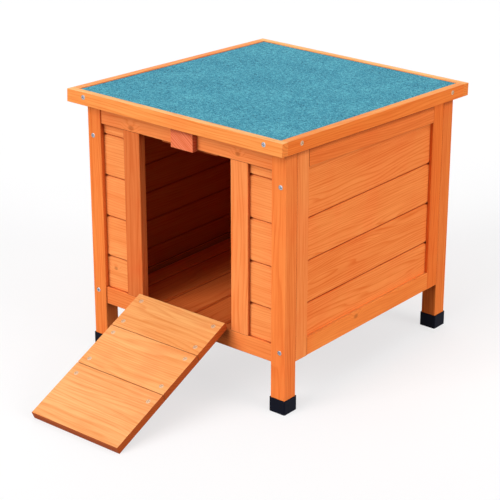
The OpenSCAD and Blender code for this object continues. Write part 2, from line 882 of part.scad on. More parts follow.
module screw_space(length) {
    translate([0, 0, -screw_head_t]) cylinder(r = screw_head_r + hole_fit, h = screw_head_t + 1);
    translate([0, 0, -length - 0.5]) cylinder(r = screw_r + hole_fit, h = length);
}

module post_screws() {
    color(zinc) house() for (side = [-1, 1], z = post_screw_zs) {
        translate([side * post_screw_x, 0, z]) rotate([90, 0, 0]) screw(post_screw_len);
        translate([side * post_screw_x, body_d, z]) rotate([-90, 0, 0]) screw(post_screw_len);
    }
}

module roof_trim_screws() {
    color(zinc) house() on_roof() trim_screw_places() screw(trim_screw_len);
}

// Hinges: a leaf hangs down from the knuckles, and its screwed face is at Y = knuckle_r

// Spans along the pin of the two end knuckles, or of the middle one
function knuckle_spans(length, middle) = middle
    ? [[-length / 6 + knuckle_gap / 2, length / 6 - knuckle_gap / 2]]
    : [[-length / 2, -length / 6 - knuckle_gap / 2], [length / 6 + knuckle_gap / 2, length / 2]];

module hinge_leaf(length, middle) {
    difference() {
        union() {
            bar(
                [-length / 2, knuckle_r - leaf_t, -leaf_w],
                [length / 2, knuckle_r, -knuckle_r - knuckle_gap]
            );
            for (span = knuckle_spans(length, middle)) {
                bar([span[0], knuckle_r - leaf_t, -knuckle_r - 2 * knuckle_gap], [span[1], knuckle_r, 0]);
                translate([span[0], 0, 0]) rotate([0, 90, 0]) cylinder(r = knuckle_r, h = span[1] - span[0]);
            }
        }
        translate([-length, 0, 0]) rotate([0, 90, 0]) cylinder(r = hinge_pin_r + pin_fit, h = 2 * length);
        leaf_screw_places(length) hinge_screw_space();
    }
}

module leaf_screw_places(length) {
    for (side = [-1, 1])
        translate([side * length / 4, knuckle_r - leaf_t, -(leaf_w + knuckle_r) / 2])
            rotate([90, 0, 0]) children();
}

module hinge_screw_space() {
    translate([0, 0, -leaf_t]) cylinder(r = hinge_screw_head_r + hole_fit, h = leaf_t + 1);
    translate([0, 0, -hinge_screw_len - leaf_t - 0.2])
        cylinder(r = hinge_screw_r + hole_fit, h = hinge_screw_len + leaf_t);
}

module hinge_screw() {
    screw_form(hinge_screw_head_r, leaf_t, hinge_screw_r, hinge_screw_len + leaf_t);
}

module hinge_pin(length) {
    translate([-length / 2, 0, 0]) rotate([0, 90, 0]) cylinder(r = hinge_pin_r, h = length);
}

// The roof's fixed leaves lie on the back wall, and its moving leaves lie under the back trim
module at_roof_hinges() {
    hinge_x = body_w / 2 - back_x0 - roof_hinge_in;
    for (side = [-1, 1]) translate([side * hinge_x, 0, 0]) children();
}

module roof_fixed_places() {
    translate([0, roof_axis_house_y, roof_axis_house_z]) at_roof_hinges() rotate([0, 0, 180]) children();
}

module roof_moving_places() {
    translate([0, roof_axis_y, roof_axis_z]) at_roof_hinges() rotate([90, 0, 0]) children();
}

module roof_fixed_screw_holes() {
    roof_fixed_places() leaf_screw_places(roof_hinge_len) hinge_screw_space();
}

module roof_moving_screw_holes() {
    roof_moving_places() leaf_screw_places(roof_hinge_len) hinge_screw_space();
}

module roof_hinge_fixed_leaves() {
    color(zinc) house() roof_fixed_places() hinge_leaf(roof_hinge_len, false);
}

module roof_hinge_moving_leaves() {
    color(zinc) house() on_roof() roof_moving_places() hinge_leaf(roof_hinge_len, true);
}

module roof_hinge_pins() {
    color(zinc) house() roof_fixed_places() hinge_pin(roof_hinge_len);
}

module roof_hinge_screws() {
    color(zinc) house() on_roof() roof_moving_places() leaf_screw_places(roof_hinge_len) hinge_screw();
}

// The ramp's fixed leaves lie on the bottom rail, and its moving leaves lie on the upper board
module at_ramp_hinges() {
    for (side = [-1, 1]) translate([side * ramp_hinge_x, ramp_axis_y, ramp_axis_z]) children();
}

module ramp_moving_places() {
    at_ramp_hinges() mirror([0, 0, 1]) children();
}

module ramp_fixed_screw_holes() {
    at_ramp_hinges() leaf_screw_places(ramp_hinge_len) hinge_screw_space();
}

module ramp_moving_screw_holes() {
    ramp_moving_places() leaf_screw_places(ramp_hinge_len) hinge_screw_space();
}

module ramp_hinge_fixed_leaves() {
    color(zinc) house() at_ramp_hinges() hinge_leaf(ramp_hinge_len, false);
}

module ramp_hinge_moving_leaves() {
    color(zinc) house() on_ramp() ramp_moving_places() hinge_leaf(ramp_hinge_len, true);
}

module ramp_hinge_pins() {
    color(zinc) house() at_ramp_hinges() hinge_pin(ramp_hinge_len);
}

module ramp_hinge_screws() {
    color(zinc) house() on_ramp() ramp_moving_places() leaf_screw_places(ramp_hinge_len) hinge_screw();
}

module house_hinge_screws() {
    color(zinc) house() {
        at_ramp_hinges() leaf_screw_places(ramp_hinge_len) hinge_screw();
        roof_fixed_places() leaf_screw_places(roof_hinge_len) hinge_screw();
    }
}

// Ramp, drawn closed: the battens face out and the boards face in

module ramp_screw_places() {
    for (side = [-1, 1], s = ramp_screw_s)
        translate([side * ramp_batten_x, front_setback + ramp_board_t, ramp_foot_z + s])
            rotate([-90, 0, 0]) children();
    for (side = [-1, 1])
        translate([side * ramp_batten_x, front_setback - ramp_batten_t, ramp_foot_z + ramp_under_screw_s])
            rotate([90, 0, 0]) children();
}

module ramp_board(s0, s1) {
    color(fir_top) house() on_ramp() difference() {
        run_x(-ramp_half, ramp_half) polygon([
            [front_setback, ramp_foot_z + s0], [front_setback + ramp_board_t - arris, ramp_foot_z + s0],
            [front_setback + ramp_board_t, ramp_foot_z + s0 + arris],
            [front_setback + ramp_board_t, ramp_foot_z + s1 - arris],
            [front_setback + ramp_board_t - arris, ramp_foot_z + s1], [front_setback, ramp_foot_z + s1]
        ]);
        ramp_screw_places() screw_space(ramp_screw_len);
        ramp_moving_screw_holes();
    }
}

module ramp_upper_board() {
    ramp_board(0, ramp_board_1 - ramp_board_gap / 2);
}

module ramp_middle_board() {
    ramp_board(ramp_board_1 + ramp_board_gap / 2, ramp_board_1 + ramp_board_2 - ramp_board_gap / 2);
}

module ramp_lower_board() {
    ramp_board(ramp_board_1 + ramp_board_2 + ramp_board_gap / 2, ramp_len);
}

module ramp_batten(side) {
    batten_x = side * ramp_batten_x;
    color(fir_side) house() on_ramp() difference() {
        bar([batten_x - ramp_batten_w / 2, front_setback - ramp_batten_t, ramp_foot_z + ramp_batten_s[0]],
            [batten_x + ramp_batten_w / 2, front_setback, ramp_foot_z + ramp_batten_s[1]]);
        ramp_screw_places() screw_space(ramp_screw_len);
    }
}

module ramp_left_batten() { ramp_batten(-1); }
module ramp_right_batten() { ramp_batten(1); }

module ramp_screws() {
    color(zinc) house() on_ramp() ramp_screw_places() screw(ramp_screw_len);
}

// Turn button, and the screw that it turns with, which comes through the rail from inside

button_screw_head_r = button_screw_r * 2;
button_screw_head_t = 2.2;
button_screw_head_y = front_setback + front_frame_t + button_gap;
button_screw_tip_y = button_back - button_t + button_screw_spare;

module at_button_pivot(y) {
    translate([button_pivot_x, y, button_pivot_z]) rotate([-90, 0, 0]) children();
}

module turn_button() {
    color(button_wood) house() difference() {
        bar([button_left, button_back - button_t, button_low],
            [button_left + button_w, button_back, button_low + button_h]);
        at_button_pivot(button_screw_tip_y - 0.5) cylinder(r = button_screw_r + hole_fit, h = button_t);
    }
}

module button_screw_hole() {
    at_button_pivot(0) cylinder(r = button_screw_r + pin_fit, h = button_screw_head_y);
}

module turn_button_screw() {
    color(zinc) house() {
        at_button_pivot(button_screw_head_y) cylinder(r = button_screw_head_r, h = button_screw_head_t);
        at_button_pivot(button_screw_tip_y)
            cylinder(r = button_screw_r, h = button_screw_head_y - button_screw_tip_y + eps);
    }
}

front_left_post();
front_right_post();
rear_left_post();
rear_right_post();
front_left_foot_cap();
front_right_foot_cap();
rear_left_foot_cap();
rear_right_foot_cap();
front_top_rail();
front_bottom_rail();
left_door_stile();
right_door_stile();
door_stop();
front_left_boards();
front_right_boards();
front_board_cleats();
right_wall_front_stile();
right_wall_rear_stile();
right_wall_top_rail();
right_wall_bottom_rail();
right_wall_boards();
left_wall_front_stile();
left_wall_rear_stile();
left_wall_top_rail();
left_wall_bottom_rail();
left_wall_boards();
back_wall_left_stile();
back_wall_right_stile();
back_wall_top_rail();
back_wall_bottom_rail();
back_wall_boards();
back_wall_dowels();
floor_boards();
floor_bearers();
roof_front_trim();
roof_back_trim();
roof_left_trim();
roof_right_trim();
roof_panel();
roofing_felt();
roof_hinge_fixed_leaves();
roof_hinge_moving_leaves();
roof_hinge_pins();
ramp_upper_board();
ramp_middle_board();
ramp_lower_board();
ramp_left_batten();
ramp_right_batten();
ramp_hinge_fixed_leaves();
ramp_hinge_moving_leaves();
ramp_hinge_pins();
turn_button();
turn_button_screw();
post_screws();
roof_trim_screws();
ramp_screws();
house_hinge_screws();
roof_hinge_screws();
ramp_hinge_screws();
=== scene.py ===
# %% [markdown]
# # Dressing a small wooden tortoise house
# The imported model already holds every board, rail, post, hinge and screw at its real size. This
# notebook gives those pieces their looks: stained fir with its grain, blue-green mineral felt,
# black plastic caps and bright zinc screws. The shapes stay as they are; only finishes and a few
# fine pieces, which repeat many times, are made here.

# %% Load the frame
import math

import bmesh
import bpy
from mathutils import Matrix, Vector


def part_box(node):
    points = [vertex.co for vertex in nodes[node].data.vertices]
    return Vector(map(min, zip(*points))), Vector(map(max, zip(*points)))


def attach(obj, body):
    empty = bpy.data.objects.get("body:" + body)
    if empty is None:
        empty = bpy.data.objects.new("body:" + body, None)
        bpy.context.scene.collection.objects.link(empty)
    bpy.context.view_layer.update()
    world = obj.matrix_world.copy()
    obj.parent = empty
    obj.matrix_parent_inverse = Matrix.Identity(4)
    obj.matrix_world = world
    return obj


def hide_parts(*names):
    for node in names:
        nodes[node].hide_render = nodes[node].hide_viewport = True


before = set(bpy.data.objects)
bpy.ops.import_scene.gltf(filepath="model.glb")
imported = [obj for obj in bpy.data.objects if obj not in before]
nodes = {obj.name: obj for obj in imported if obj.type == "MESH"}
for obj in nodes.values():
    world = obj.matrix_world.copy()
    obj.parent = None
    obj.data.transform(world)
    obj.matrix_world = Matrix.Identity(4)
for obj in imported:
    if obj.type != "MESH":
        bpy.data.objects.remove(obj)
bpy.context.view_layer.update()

# %% [markdown]
# ## Colours and nodes
# Colours are written as the hex values a painter reads off a screen, and Blender's shaders want
# linear light, so one function turns one into the other. A second one adds any shader or geometry
# node with its settings and links, which keeps each recipe below short enough to read. Several
# sockets of a node can share a name, so a socket may be given by its number, from 0 downwards.

# %% Helpers for every recipe
MM = 1000.0  # millimetres in a metre


def paint(hex_colour):
    """Turns an sRGB hex value into linear light."""
    values = [int(hex_colour[i:i + 2], 16) / 255 for i in (1, 3, 5)]
    return [v / 12.92 if v <= 0.04045 else ((v + 0.055) / 1.055) ** 2.4 for v in values] + [1.0]


def add(tree, kind, sockets=None, **settings):
    """Adds one node; sockets maps an input's name or number to a value or to another output."""
    made = tree.nodes.new(kind)
    for name, value in settings.items():
        setattr(made, name, value)
    for socket, value in (sockets or {}).items():
        if isinstance(value, bpy.types.NodeSocket):
            tree.links.new(value, made.inputs[socket])
        else:
            made.inputs[socket].default_value = value
    return made


def new_material(name):
    """An empty material: itself, its node tree, and the output that a surface links to."""
    material = bpy.data.materials.new(name)
    material.use_nodes = True
    material.node_tree.nodes.clear()
    return material, material.node_tree, material.node_tree.nodes.new("ShaderNodeOutputMaterial")


print("orange stain in linear light", [round(v, 3) for v in paint("#F28F4A")])

# %% [markdown]
# ## Stained fir
# The real wood is planed fir under a thin orange stain. Three things make it read as wood: the
# growth rings, seen on a face as long wavy lines a few millimetres apart with one sharp side; fine
# fibres along the board; and slow changes of tone, since each board drinks the stain in its own
# way. A photograph of wood would repeat and can't follow a cut end. A solid pattern, worked out from
# each point's place in the object, cuts through the board as real rings do, so faces, edges and
# ends agree. The recipe is long, so it is built below from short steps: boards, knots, rings,
# colour, joints, painted shade and light by facing, and sanded edges and painted shade in corners.
# Two sums come first, since every step needs them.

# %% Sums, and a place in the wood
GRAIN = {"x": (0, 1, 2), "y": (1, 0, 2), "z": (2, 0, 1)}  # the axes along, across and through a piece
EASED = {"interpolation_type": "SMOOTHSTEP"}  # a Map Range with soft ends: 1 to 2 becomes 3 to 4
MIX = {"data_type": "RGBA"}  # a Mix of colours: socket 0 is how much of colour 7 covers colour 6
TINT = {"data_type": "RGBA", "blend_type": "MULTIPLY"}  # the same, but colour 7 filters colour 6


def weighed(tree, *terms):
    """The sum of value times weight, for any number of pairs."""
    total = 0.0
    for value, weight in terms:
        term = {0: value, 1: weight, 2: total}
        total = add(tree, "ShaderNodeMath", term, operation="MULTIPLY_ADD").outputs[0]
    return total


def shifted(tree, along, across, deep, stretch, shift):
    """A place in the wood, drawn out along the grain and moved by the board's own shift."""
    place = {0: weighed(tree, (along, stretch)), 1: across, 2: deep}
    place = add(tree, "ShaderNodeCombineXYZ", place).outputs[0]
    return add(tree, "ShaderNodeVectorMath", {0: place, 1: shift}, operation="ADD").outputs[0]


print("axes along, across and through a piece, by its grain:", GRAIN)

# %% [markdown]
# ## Boards of a panel
# A wall is one node of several boards laid edge to edge. Each board comes from another tree, so the
# grain has to change at every joint. The joints are evenly spaced, so a point's distance from the
# first one, divided by what a board covers, gives the number of its board, and that number moves
# the pattern. The same count says how far away the nearest joint is, for the dark line there.

# %% Count the boards
BOARD_SHIFT = (0.83, 0.37, 0.29)  # metres between the patterns of two neighbours


def count_boards(tree, place, boards, shift):
    """How far the nearest joint is, in mm, and the pattern's shift for the board at a point."""
    index = weighed(tree, (place, 1 / boards["cover"]), (1.0, -boards["first"] / boards["cover"]))
    last = boards["joints"] - 0.5
    index = add(tree, "ShaderNodeMath", {0: index, 1: last}, operation="MINIMUM").outputs[0]
    apart = add(tree, "ShaderNodeMath", {0: index, 1: 0.5}, operation="PINGPONG").outputs[0]
    number = add(tree, "ShaderNodeMath", {0: index}, operation="FLOOR").outputs[0]
    step = add(tree, "ShaderNodeCombineXYZ", {0: number, 1: number, 2: number}).outputs[0]
    step = add(tree, "ShaderNodeVectorMath", {0: step, 1: BOARD_SHIFT}, operation="MULTIPLY").outputs[0]
    shift = add(tree, "ShaderNodeVectorMath", {0: step, 1: shift}, operation="ADD").outputs[0]
    return weighed(tree, (apart, boards["cover"] * MM)), shift


print("boards side by side are cut", round(Vector(BOARD_SHIFT).length, 2), "m apart in the pattern")

# %% [markdown]
# ## Knots
# A knot is where a branch grew: a small dark oval, with the rings of the stem bending round it. So
# each knot darkens a small ball of wood, and pushes the rings aside in a wider one. Only the knots
# that show in the picture are placed, each by its middle and its radius in metres.

# %% Place the knots
KNOT_LENGTH = 0.7     # distances along the grain count for this much, so a knot is longer that way
KNOT_DARK = (0.4, 1.4)  # a knot fades out between these shares of its radius
KNOT_REACH = (0.6, 4.0)  # and the rings come to rest between these


def place_knots(tree, point, lengthwise, knots):
    """How dark the knots make a point, and how far they push its rings."""
    shape = [1.0, 1.0, 1.0]
    shape[lengthwise] = KNOT_LENGTH
    found = [0.0, 0.0]
    for x, y, z, radius in knots:
        away = add(tree, "ShaderNodeVectorMath", {0: point, 1: (x, y, z)}, operation="SUBTRACT").outputs[0]
        away = add(tree, "ShaderNodeVectorMath", {0: away, 1: shape}, operation="MULTIPLY").outputs[0]
        away = add(tree, "ShaderNodeVectorMath", {0: away}, operation="LENGTH").outputs[1]
        for i, (inner, outer) in enumerate((KNOT_DARK, KNOT_REACH)):
            fade = {0: away, 1: radius * inner, 2: radius * outer, 3: 1.0, 4: 0.0}
            near = add(tree, "ShaderNodeMapRange", fade, **EASED).outputs[0]
            found[i] = weighed(tree, (near, 1.0), (found[i], 1.0))
    return found


print("a knot of 4 mm radius bends the rings up to", 4 * KNOT_REACH[1], "mm to its sides")

# %% [markdown]
# ## Rings and fibres
# A growth ring starts as pale early wood, darkens to a hard late edge and stops short, and the next
# one starts pale again. So rings are counted through the wood at a slant, and the part of the count
# behind the point says where in its ring a point is. Noise drawn out along the grain bends the
# rings, finer noise gives the fibres and streaks, and the widest gives the slow changes of tone.

# %% Grow the wood
RING_MM = 4.2    # growth rings are 2 to 4 mm apart, and wider where a face cuts them at a slant
FIBRE_MM = 1.3   # real fibres are finer than 0.1 mm, so they are drawn as coarse as shows
BEND_MM = 46.0   # the long waves move a ring by up to this much
WAVER_MM = 1.6   # and the short ones by up to this much
KNOT_PUSH = 1.6  # a knot pushes this many rings aside
SLANT = (0.52, 0.88)   # the rings are counted this much across the piece, and this much through it
LATE = (0.4, 0.88)     # a ring darkens from the first of these parts of it to the second
LAYERS = {  # blobs this many mm wide, their shape along the grain, the noise's detail and roughness
    "bend": (62.0, 0.12, 2.0, 0.5),
    "waver": (9.0, 0.06, 3.0, 0.5),
    "fibre": (FIBRE_MM, 0.025, 2.0, 0.5),
    "streak": (9.0, 0.05, 4.0, 0.68),
    "tone": (130.0, 0.35, 2.0, 0.5),
    "blush": (70.0, 0.4, 2.0, 0.5),
}


def grow(tree, along, across, deep, shift, push, bends):
    """The layers of the wood by name, each about 0 to 1; late is the dark part of a ring."""
    wood = {}
    for layer, (width_mm, stretch, detail, rough) in LAYERS.items():
        order = (deep, along, across) if layer == "blush" else (along, across, deep)
        wood[layer] = add(tree, "ShaderNodeTexNoise", {
            "Vector": shifted(tree, *order, stretch, shift), "Scale": MM / width_mm,
            "Detail": detail, "Roughness": rough}).outputs["Fac"]
    count = weighed(tree, (across, MM * SLANT[0] / RING_MM), (deep, MM * SLANT[1] / RING_MM),
                    (wood["bend"], BEND_MM * bends / RING_MM), (wood["waver"], WAVER_MM / RING_MM),
                    (push, KNOT_PUSH))
    ring = add(tree, "ShaderNodeMath", {0: count}, operation="FRACT").outputs[0]
    rise = add(tree, "ShaderNodeMapRange", {0: ring, 1: LATE[0], 2: LATE[1]}, **EASED).outputs[0]
    fall = {0: ring, 1: LATE[1], 2: 1.0, 3: 1.0, 4: 0.0}
    fall = add(tree, "ShaderNodeMapRange", fall, **EASED).outputs[0]
    wood["late"] = add(tree, "ShaderNodeMath", {0: rise, 1: fall}, operation="MULTIPLY").outputs[0]
    return wood


print("rings every", RING_MM, "mm, fibres", FIBRE_MM, "mm wide, layers", list(LAYERS))

# %% [markdown]
# ## Stain on faces and on cut ends
# The same stain is pale on early wood and dark on late wood and in the fibres, so one colour is made
# both paler and darker, and the layers mix the two. Here and there a board blushes redder. A cut end
# is a bundle of open fibres: it soaks up more stain, and shows the rings as arcs, which the solid
# pattern gives by itself. A face whose normal points along the grain is such an end.

# %% Colour the faces and the ends
PALER = (1.05, 1.24, 1.42, 1.0)   # times the stain's red, green and blue, on early wood
DARKER = (0.84, 0.62, 0.44, 1.0)  # on late wood
BLUSH = (1.0, 0.84, 0.82, 1.0)    # where a board blushes
SOAKED = (0.62, 0.5, 0.5, 1.0)    # on a cut end
SOAKED_LATE = (0.7, 0.6, 0.6, 1.0)  # and once more on the late wood of a cut end


def tinted(colour, shares):
    """A colour with each part multiplied by its share, and none above full light."""
    return [min(1.0, part * share) for part, share in zip(colour, shares)]


def face_colour(tree, base, wood, rings, knot):
    """Stain on a planed face."""
    depth = weighed(tree, (wood["late"], 0.3 * rings), (wood["fibre"], 0.8), (wood["streak"], 1.2),
                    (wood["tone"], 0.6), (1.0, -0.98))
    depth = add(tree, "ShaderNodeClamp", {0: depth}).outputs[0]
    stain = {0: depth, 6: tinted(base, PALER), 7: tinted(base, DARKER)}
    colour = add(tree, "ShaderNodeMix", stain, **MIX).outputs[2]
    patch = add(tree, "ShaderNodeMapRange", {0: wood["blush"], 1: 0.45, 2: 0.75, 4: 0.6}, **EASED).outputs[0]
    colour = add(tree, "ShaderNodeMix", {0: patch, 6: colour, 7: BLUSH}, **TINT).outputs[2]
    knotted = {0: weighed(tree, (knot, 0.5)), 6: colour, 7: paint("#9A4216")}
    return add(tree, "ShaderNodeMix", knotted, **MIX).outputs[2]


def end_colour(tree, colour, soaked, wood, side):
    """The colour of the faces, but soaked stain where side, along the grain, is near 1 or -1."""
    facing = add(tree, "ShaderNodeMath", {0: side}, operation="ABSOLUTE").outputs[0]
    cut = add(tree, "ShaderNodeMapRange", {0: facing, 1: 0.7, 2: 0.9}, **EASED).outputs[0]
    depth = weighed(tree, (wood["late"], 0.5), (wood["streak"], 0.5), (wood["fibre"], 0.4), (1.0, -0.2))
    rings = {0: depth, 6: soaked, 7: tinted(soaked, SOAKED_LATE)}
    rings = add(tree, "ShaderNodeMix", rings, **MIX).outputs[2]
    return add(tree, "ShaderNodeMix", {0: cut, 6: colour, 7: rings}, **MIX).outputs[2]


print("early wood lets through", PALER[:3], "late wood", DARKER[:3], "cut ends", SOAKED[:3])

# %% [markdown]
# ## Stain and painted shade in the joints
# The joints between the boards are narrow grooves in the model. Wet stain stays in them and dries
# darker, and a groove lies in shade, so a dark line of stain and painted shade is laid over each
# one. Every joint of the front and right walls ends in a small dark dot at one side, where it runs
# into a post or stile and into its shade. The dots are painted shade, a few millimetres of colour
# around those ends.

# %% Darken the joints
# a joint's dark line is stain and painted shade
JOINT_STAIN_AND_SHADE = (0.62, 0.36, 0.2, 1.0)  # what a joint lets through of the board's red, green and blue
DARK_DOT_MM = 4.6     # painted shade spreads this far around the end of a joint
DARK_DOT_SHAPE = 0.6  # and reaches further along the joint than across it


def joint_stain_and_shade(tree, colour, along, apart, line_mm, shaded_ends):
    """A dark line of stain and painted shade where a joint is near, and a dot of painted shade at each place
    along it.
    """
    line = {0: apart, 1: line_mm * 0.3, 2: line_mm, 3: 0.78, 4: 0.0}
    line = add(tree, "ShaderNodeMapRange", line, **EASED).outputs[0]
    colour = add(tree, "ShaderNodeMix", {0: line, 6: colour, 7: JOINT_STAIN_AND_SHADE}, **TINT).outputs[2]
    # a dot of painted shade at each end where a joint runs into a post or stile
    for place in shaded_ends:
        aside = weighed(tree, (along, DARK_DOT_SHAPE * MM), (1.0, -place * DARK_DOT_SHAPE * MM))
        away = add(tree, "ShaderNodeCombineXYZ", {0: apart, 1: aside}).outputs[0]
        away = add(tree, "ShaderNodeVectorMath", {0: away}, operation="LENGTH").outputs[1]
        dark_dot = {0: away, 1: DARK_DOT_MM * 0.2, 2: DARK_DOT_MM, 3: 0.96, 4: 0.0}
        dark_dot = add(tree, "ShaderNodeMapRange", dark_dot, **EASED).outputs[0]
        colour = add(tree, "ShaderNodeMix", {0: dark_dot, 6: colour, 7: paint("#6C0600")}, **MIX).outputs[2]
    return colour


# the dot is painted shade
print("a pool of stain reaches", round(DARK_DOT_MM / DARK_DOT_SHAPE, 1), "mm along a joint")

# %% [markdown]
# ## Painted shade and light that go with a direction
# The faces that look into the house are painted darker and redder than the outside, as shade, and so
# is the ramp's free end, which looks down; the upper faces of the trims and of the side's bottom rail
# are painted lighter and yellower, as light from above. A separate material for one face of a board
# would need its mesh changed. The normal does it without: it says which way a face looks, and a
# filter changes the colour of the faces that look that way.

# %% Paint shade and light on the faces that look one way
# painted shade and painted light: shares of the colour's red, green and blue on faces that look one way
INSIDE_SHADE = (0.5, 0.42, 0.36, 1.0)  # the photo shows the inside darker and redder than the outside
RAMP_END_SHADE = (0.5, 0.23, 0.15, 1.0)     # and the ramp's free end darker and redder than its top
TOP_LIGHT = (0.95, 1.4, 1.9, 1.0)      # and the trims' upper faces lighter and yellower


def painted_by_facing(tree, colour, axis, sign, facing_paint, starts=0.5, full=0.9):
    """The colour, filtered on faces whose normal points along an axis: painted shade where the filter
    darkens, painted light where it lightens.
    """
    normal = add(tree, "ShaderNodeTexCoord").outputs["Normal"]
    looks = weighed(tree, (add(tree, "ShaderNodeSeparateXYZ", {0: normal}).outputs[axis], sign))
    share = add(tree, "ShaderNodeMapRange", {0: looks, 1: starts, 2: full}, **EASED).outputs[0]
    return add(tree, "ShaderNodeMix", {0: share, 6: colour, 7: facing_paint}, **TINT).outputs[2]


# upper faces get painted light; faces that look into the house, and the ramp's free end, get painted shade
looks_up = (2, 1, TOP_LIGHT, 0.6, 0.95)
looks_right, looks_left = (0, 1, INSIDE_SHADE), (0, -1, INSIDE_SHADE)
looks_back, looks_front = (1, 1, INSIDE_SHADE), (1, -1, INSIDE_SHADE)
ramp_end = (1, -1, RAMP_END_SHADE)
print("coats inside", INSIDE_SHADE[:3], "on the ramp's end", RAMP_END_SHADE[:3], "on top", TOP_LIGHT[:3])

# %% [markdown]
# ## Sanded edges, and painted shade in the corners
# Sandpaper rounds a machined edge by less than a millimetre and leaves the stain thinner there, and
# the paler edge is also a painted highlight. The Bevel node rounds the shading, and its difference
# from the true normal finds the edges. Corners are painted darker as shade, most of all under
# ledges. An Ambient Occlusion node measures how closed in a point is, and its normal leans upward,
# so that a ledge above counts for more than one below, as a shadow cast from above would.

# %% Wear the edges and paint shade in the corners
EDGE_MM = 0.9     # sandpaper rounds a machined edge by about this much
# the paler edge is thinner stain and also a painted highlight
EDGE_WEAR_AND_HIGHLIGHT = 0.12  # how much of the stain it takes off there
CORNER_MM = 24.0  # painted shade reaches about this far from a ledge
LEAN = (0.0, 0.0, 0.8)  # added to the normal, so that what is above counts for more


def worn_edges_and_shaded_corners(tree, colour, rounded, corner_shade):
    """Paler stain and a painted highlight on the edges, and up to corner_shade of painted shade in the
    corners.
    """
    true = add(tree, "ShaderNodeNewGeometry").outputs["Normal"]
    edge = add(tree, "ShaderNodeVectorMath", {0: rounded, 1: true}, operation="DOT_PRODUCT").outputs[1]
    # sanded edges: paler stain, and a painted highlight on them
    worn_and_highlit = {0: edge, 1: 0.75, 2: 1.0, 3: EDGE_WEAR_AND_HIGHLIGHT, 4: 0.0}
    worn_and_highlit = add(tree, "ShaderNodeMapRange", worn_and_highlit, **EASED).outputs[0]
    colour = add(tree, "ShaderNodeMix", {0: worn_and_highlit, 6: colour, 7: paint("#FFC285")}, **MIX).outputs[2]
    lean = add(tree, "ShaderNodeVectorMath", {0: true, 1: LEAN}, operation="ADD").outputs[0]
    lean = add(tree, "ShaderNodeVectorMath", {0: lean}, operation="NORMALIZE").outputs[0]
    closed_in = {"Distance": CORNER_MM / MM, "Normal": lean}
    closed_in = add(tree, "ShaderNodeAmbientOcclusion", closed_in, samples=8).outputs["AO"]
    # painted shade: the more closed in a point is, the more of the dark shade colour, up to corner_shade
    toned = {0: closed_in, 1: 0.25, 2: 0.78, 3: corner_shade, 4: 0.0}
    toned = add(tree, "ShaderNodeMapRange", toned, **EASED).outputs[0]
    return add(tree, "ShaderNodeMix", {0: toned, 6: colour, 7: paint("#7A2606")}, **MIX).outputs[2]


print("edges rounded by", EDGE_MM, "mm, corners filled up to", CORNER_MM, "mm out")

# %% [markdown]
# ## One recipe for every piece of wood
# Now the steps come together. The recipe takes the direction of the grain, a seed for the pattern,
# the colour of the stain, and what is special about a piece: its slope, its joints and knots, the
# painted shade and light on faces that look one way, how much painted shade its corners take, and
# how strong its rings are. Thin stain on planed wood is nearly matt, so the surface is rough with a
# weak highlight, and fine bumps follow the late wood and the fibres.

# %% The recipe for stained fir
SEED_SHIFT = (1.37, 0.71, 0.53)  # metres between the patterns of two seeds
SATIN = 0.5       # roughness of the stain between the fibres
BUMP_MM = 0.2     # height of the raised grain, drawn a little higher than it is


def stained_fir(name, grain, seed, stain, end=None, turn=(0, 0, 0), boards=None, shaded_ends=(), knots=(),
                rings=1.0, bends=1.0, coats=(), corner_shade=0.9):
    """Stained fir for one piece; turn is the slope of its grain in degrees."""
    material, tree, out = new_material(name)
    base = paint(stain)
    spot = add(tree, "ShaderNodeTexCoord")
    point, normal = spot.outputs["Object"], spot.outputs["Normal"]
    if any(turn):
        angles = [math.radians(a) for a in turn]
        point = add(tree, "ShaderNodeMapping", {"Vector": point, "Rotation": angles}).outputs[0]
        normal = add(tree, "ShaderNodeMapping", {"Vector": normal, "Rotation": angles}).outputs[0]
    place = add(tree, "ShaderNodeSeparateXYZ", {0: point}).outputs
    lengthwise = GRAIN[grain][0]
    along, across, deep = [place[axis] for axis in GRAIN[grain]]
    shift = [seed * step for step in SEED_SHIFT]
    if boards:
        apart, shift = count_boards(tree, place[boards["axis"]], boards, shift)
    knot, push = place_knots(tree, point, lengthwise, knots)
    wood = grow(tree, along, across, deep, shift, push, bends)

    colour = face_colour(tree, base, wood, rings, knot)
    side = add(tree, "ShaderNodeSeparateXYZ", {0: normal}).outputs[lengthwise]
    soaked = paint(end) if end else tinted(base, SOAKED)
    colour = end_colour(tree, colour, soaked, wood, side)
    if boards:
        colour = joint_stain_and_shade(tree, colour, along, apart, boards["line_mm"], shaded_ends)
    # painted shade and light by facing, then sanded edges with a painted highlight, and painted shade in the
    # corners
    for facing_paint in coats:
        colour = painted_by_facing(tree, colour, *facing_paint)
    rounded = add(tree, "ShaderNodeBevel", {"Radius": EDGE_MM / MM}, samples=6).outputs[0]
    colour = worn_edges_and_shaded_corners(tree, colour, rounded, corner_shade)

    height = weighed(tree, (wood["late"], 0.35), (wood["fibre"], 0.65))
    bump = add(tree, "ShaderNodeBump", {
        "Height": height, "Normal": rounded, "Distance": BUMP_MM / MM, "Strength": 0.4})
    rough = weighed(tree, (wood["fibre"], 0.14), (wood["late"], 0.06), (1.0, SATIN))
    finish = add(tree, "ShaderNodeBsdfPrincipled", {
        "Base Color": colour, "Roughness": rough, "Normal": bump.outputs[0], "Specular IOR Level": 0.08})
    tree.links.new(finish.outputs[0], out.inputs[0])
    return material


print("roughness of the stained wood", SATIN, "to", SATIN + 0.2)

# %% [markdown]
# ## Which way each piece is cut
# Grain always runs along a piece, because wood is strong that way: up the posts and stiles, along
# the rails and boards. Where a piece follows the slope of the roof or of the ramp, and on the turn
# button, which stands askew, the pattern is turned by the same angle. A seed of its own keeps two
# pieces from being the same piece of tree. For a panel the list also says where its joints are.
# Painted shade darkens one end of the joints, where they meet a post or a stile, and the frame says where.

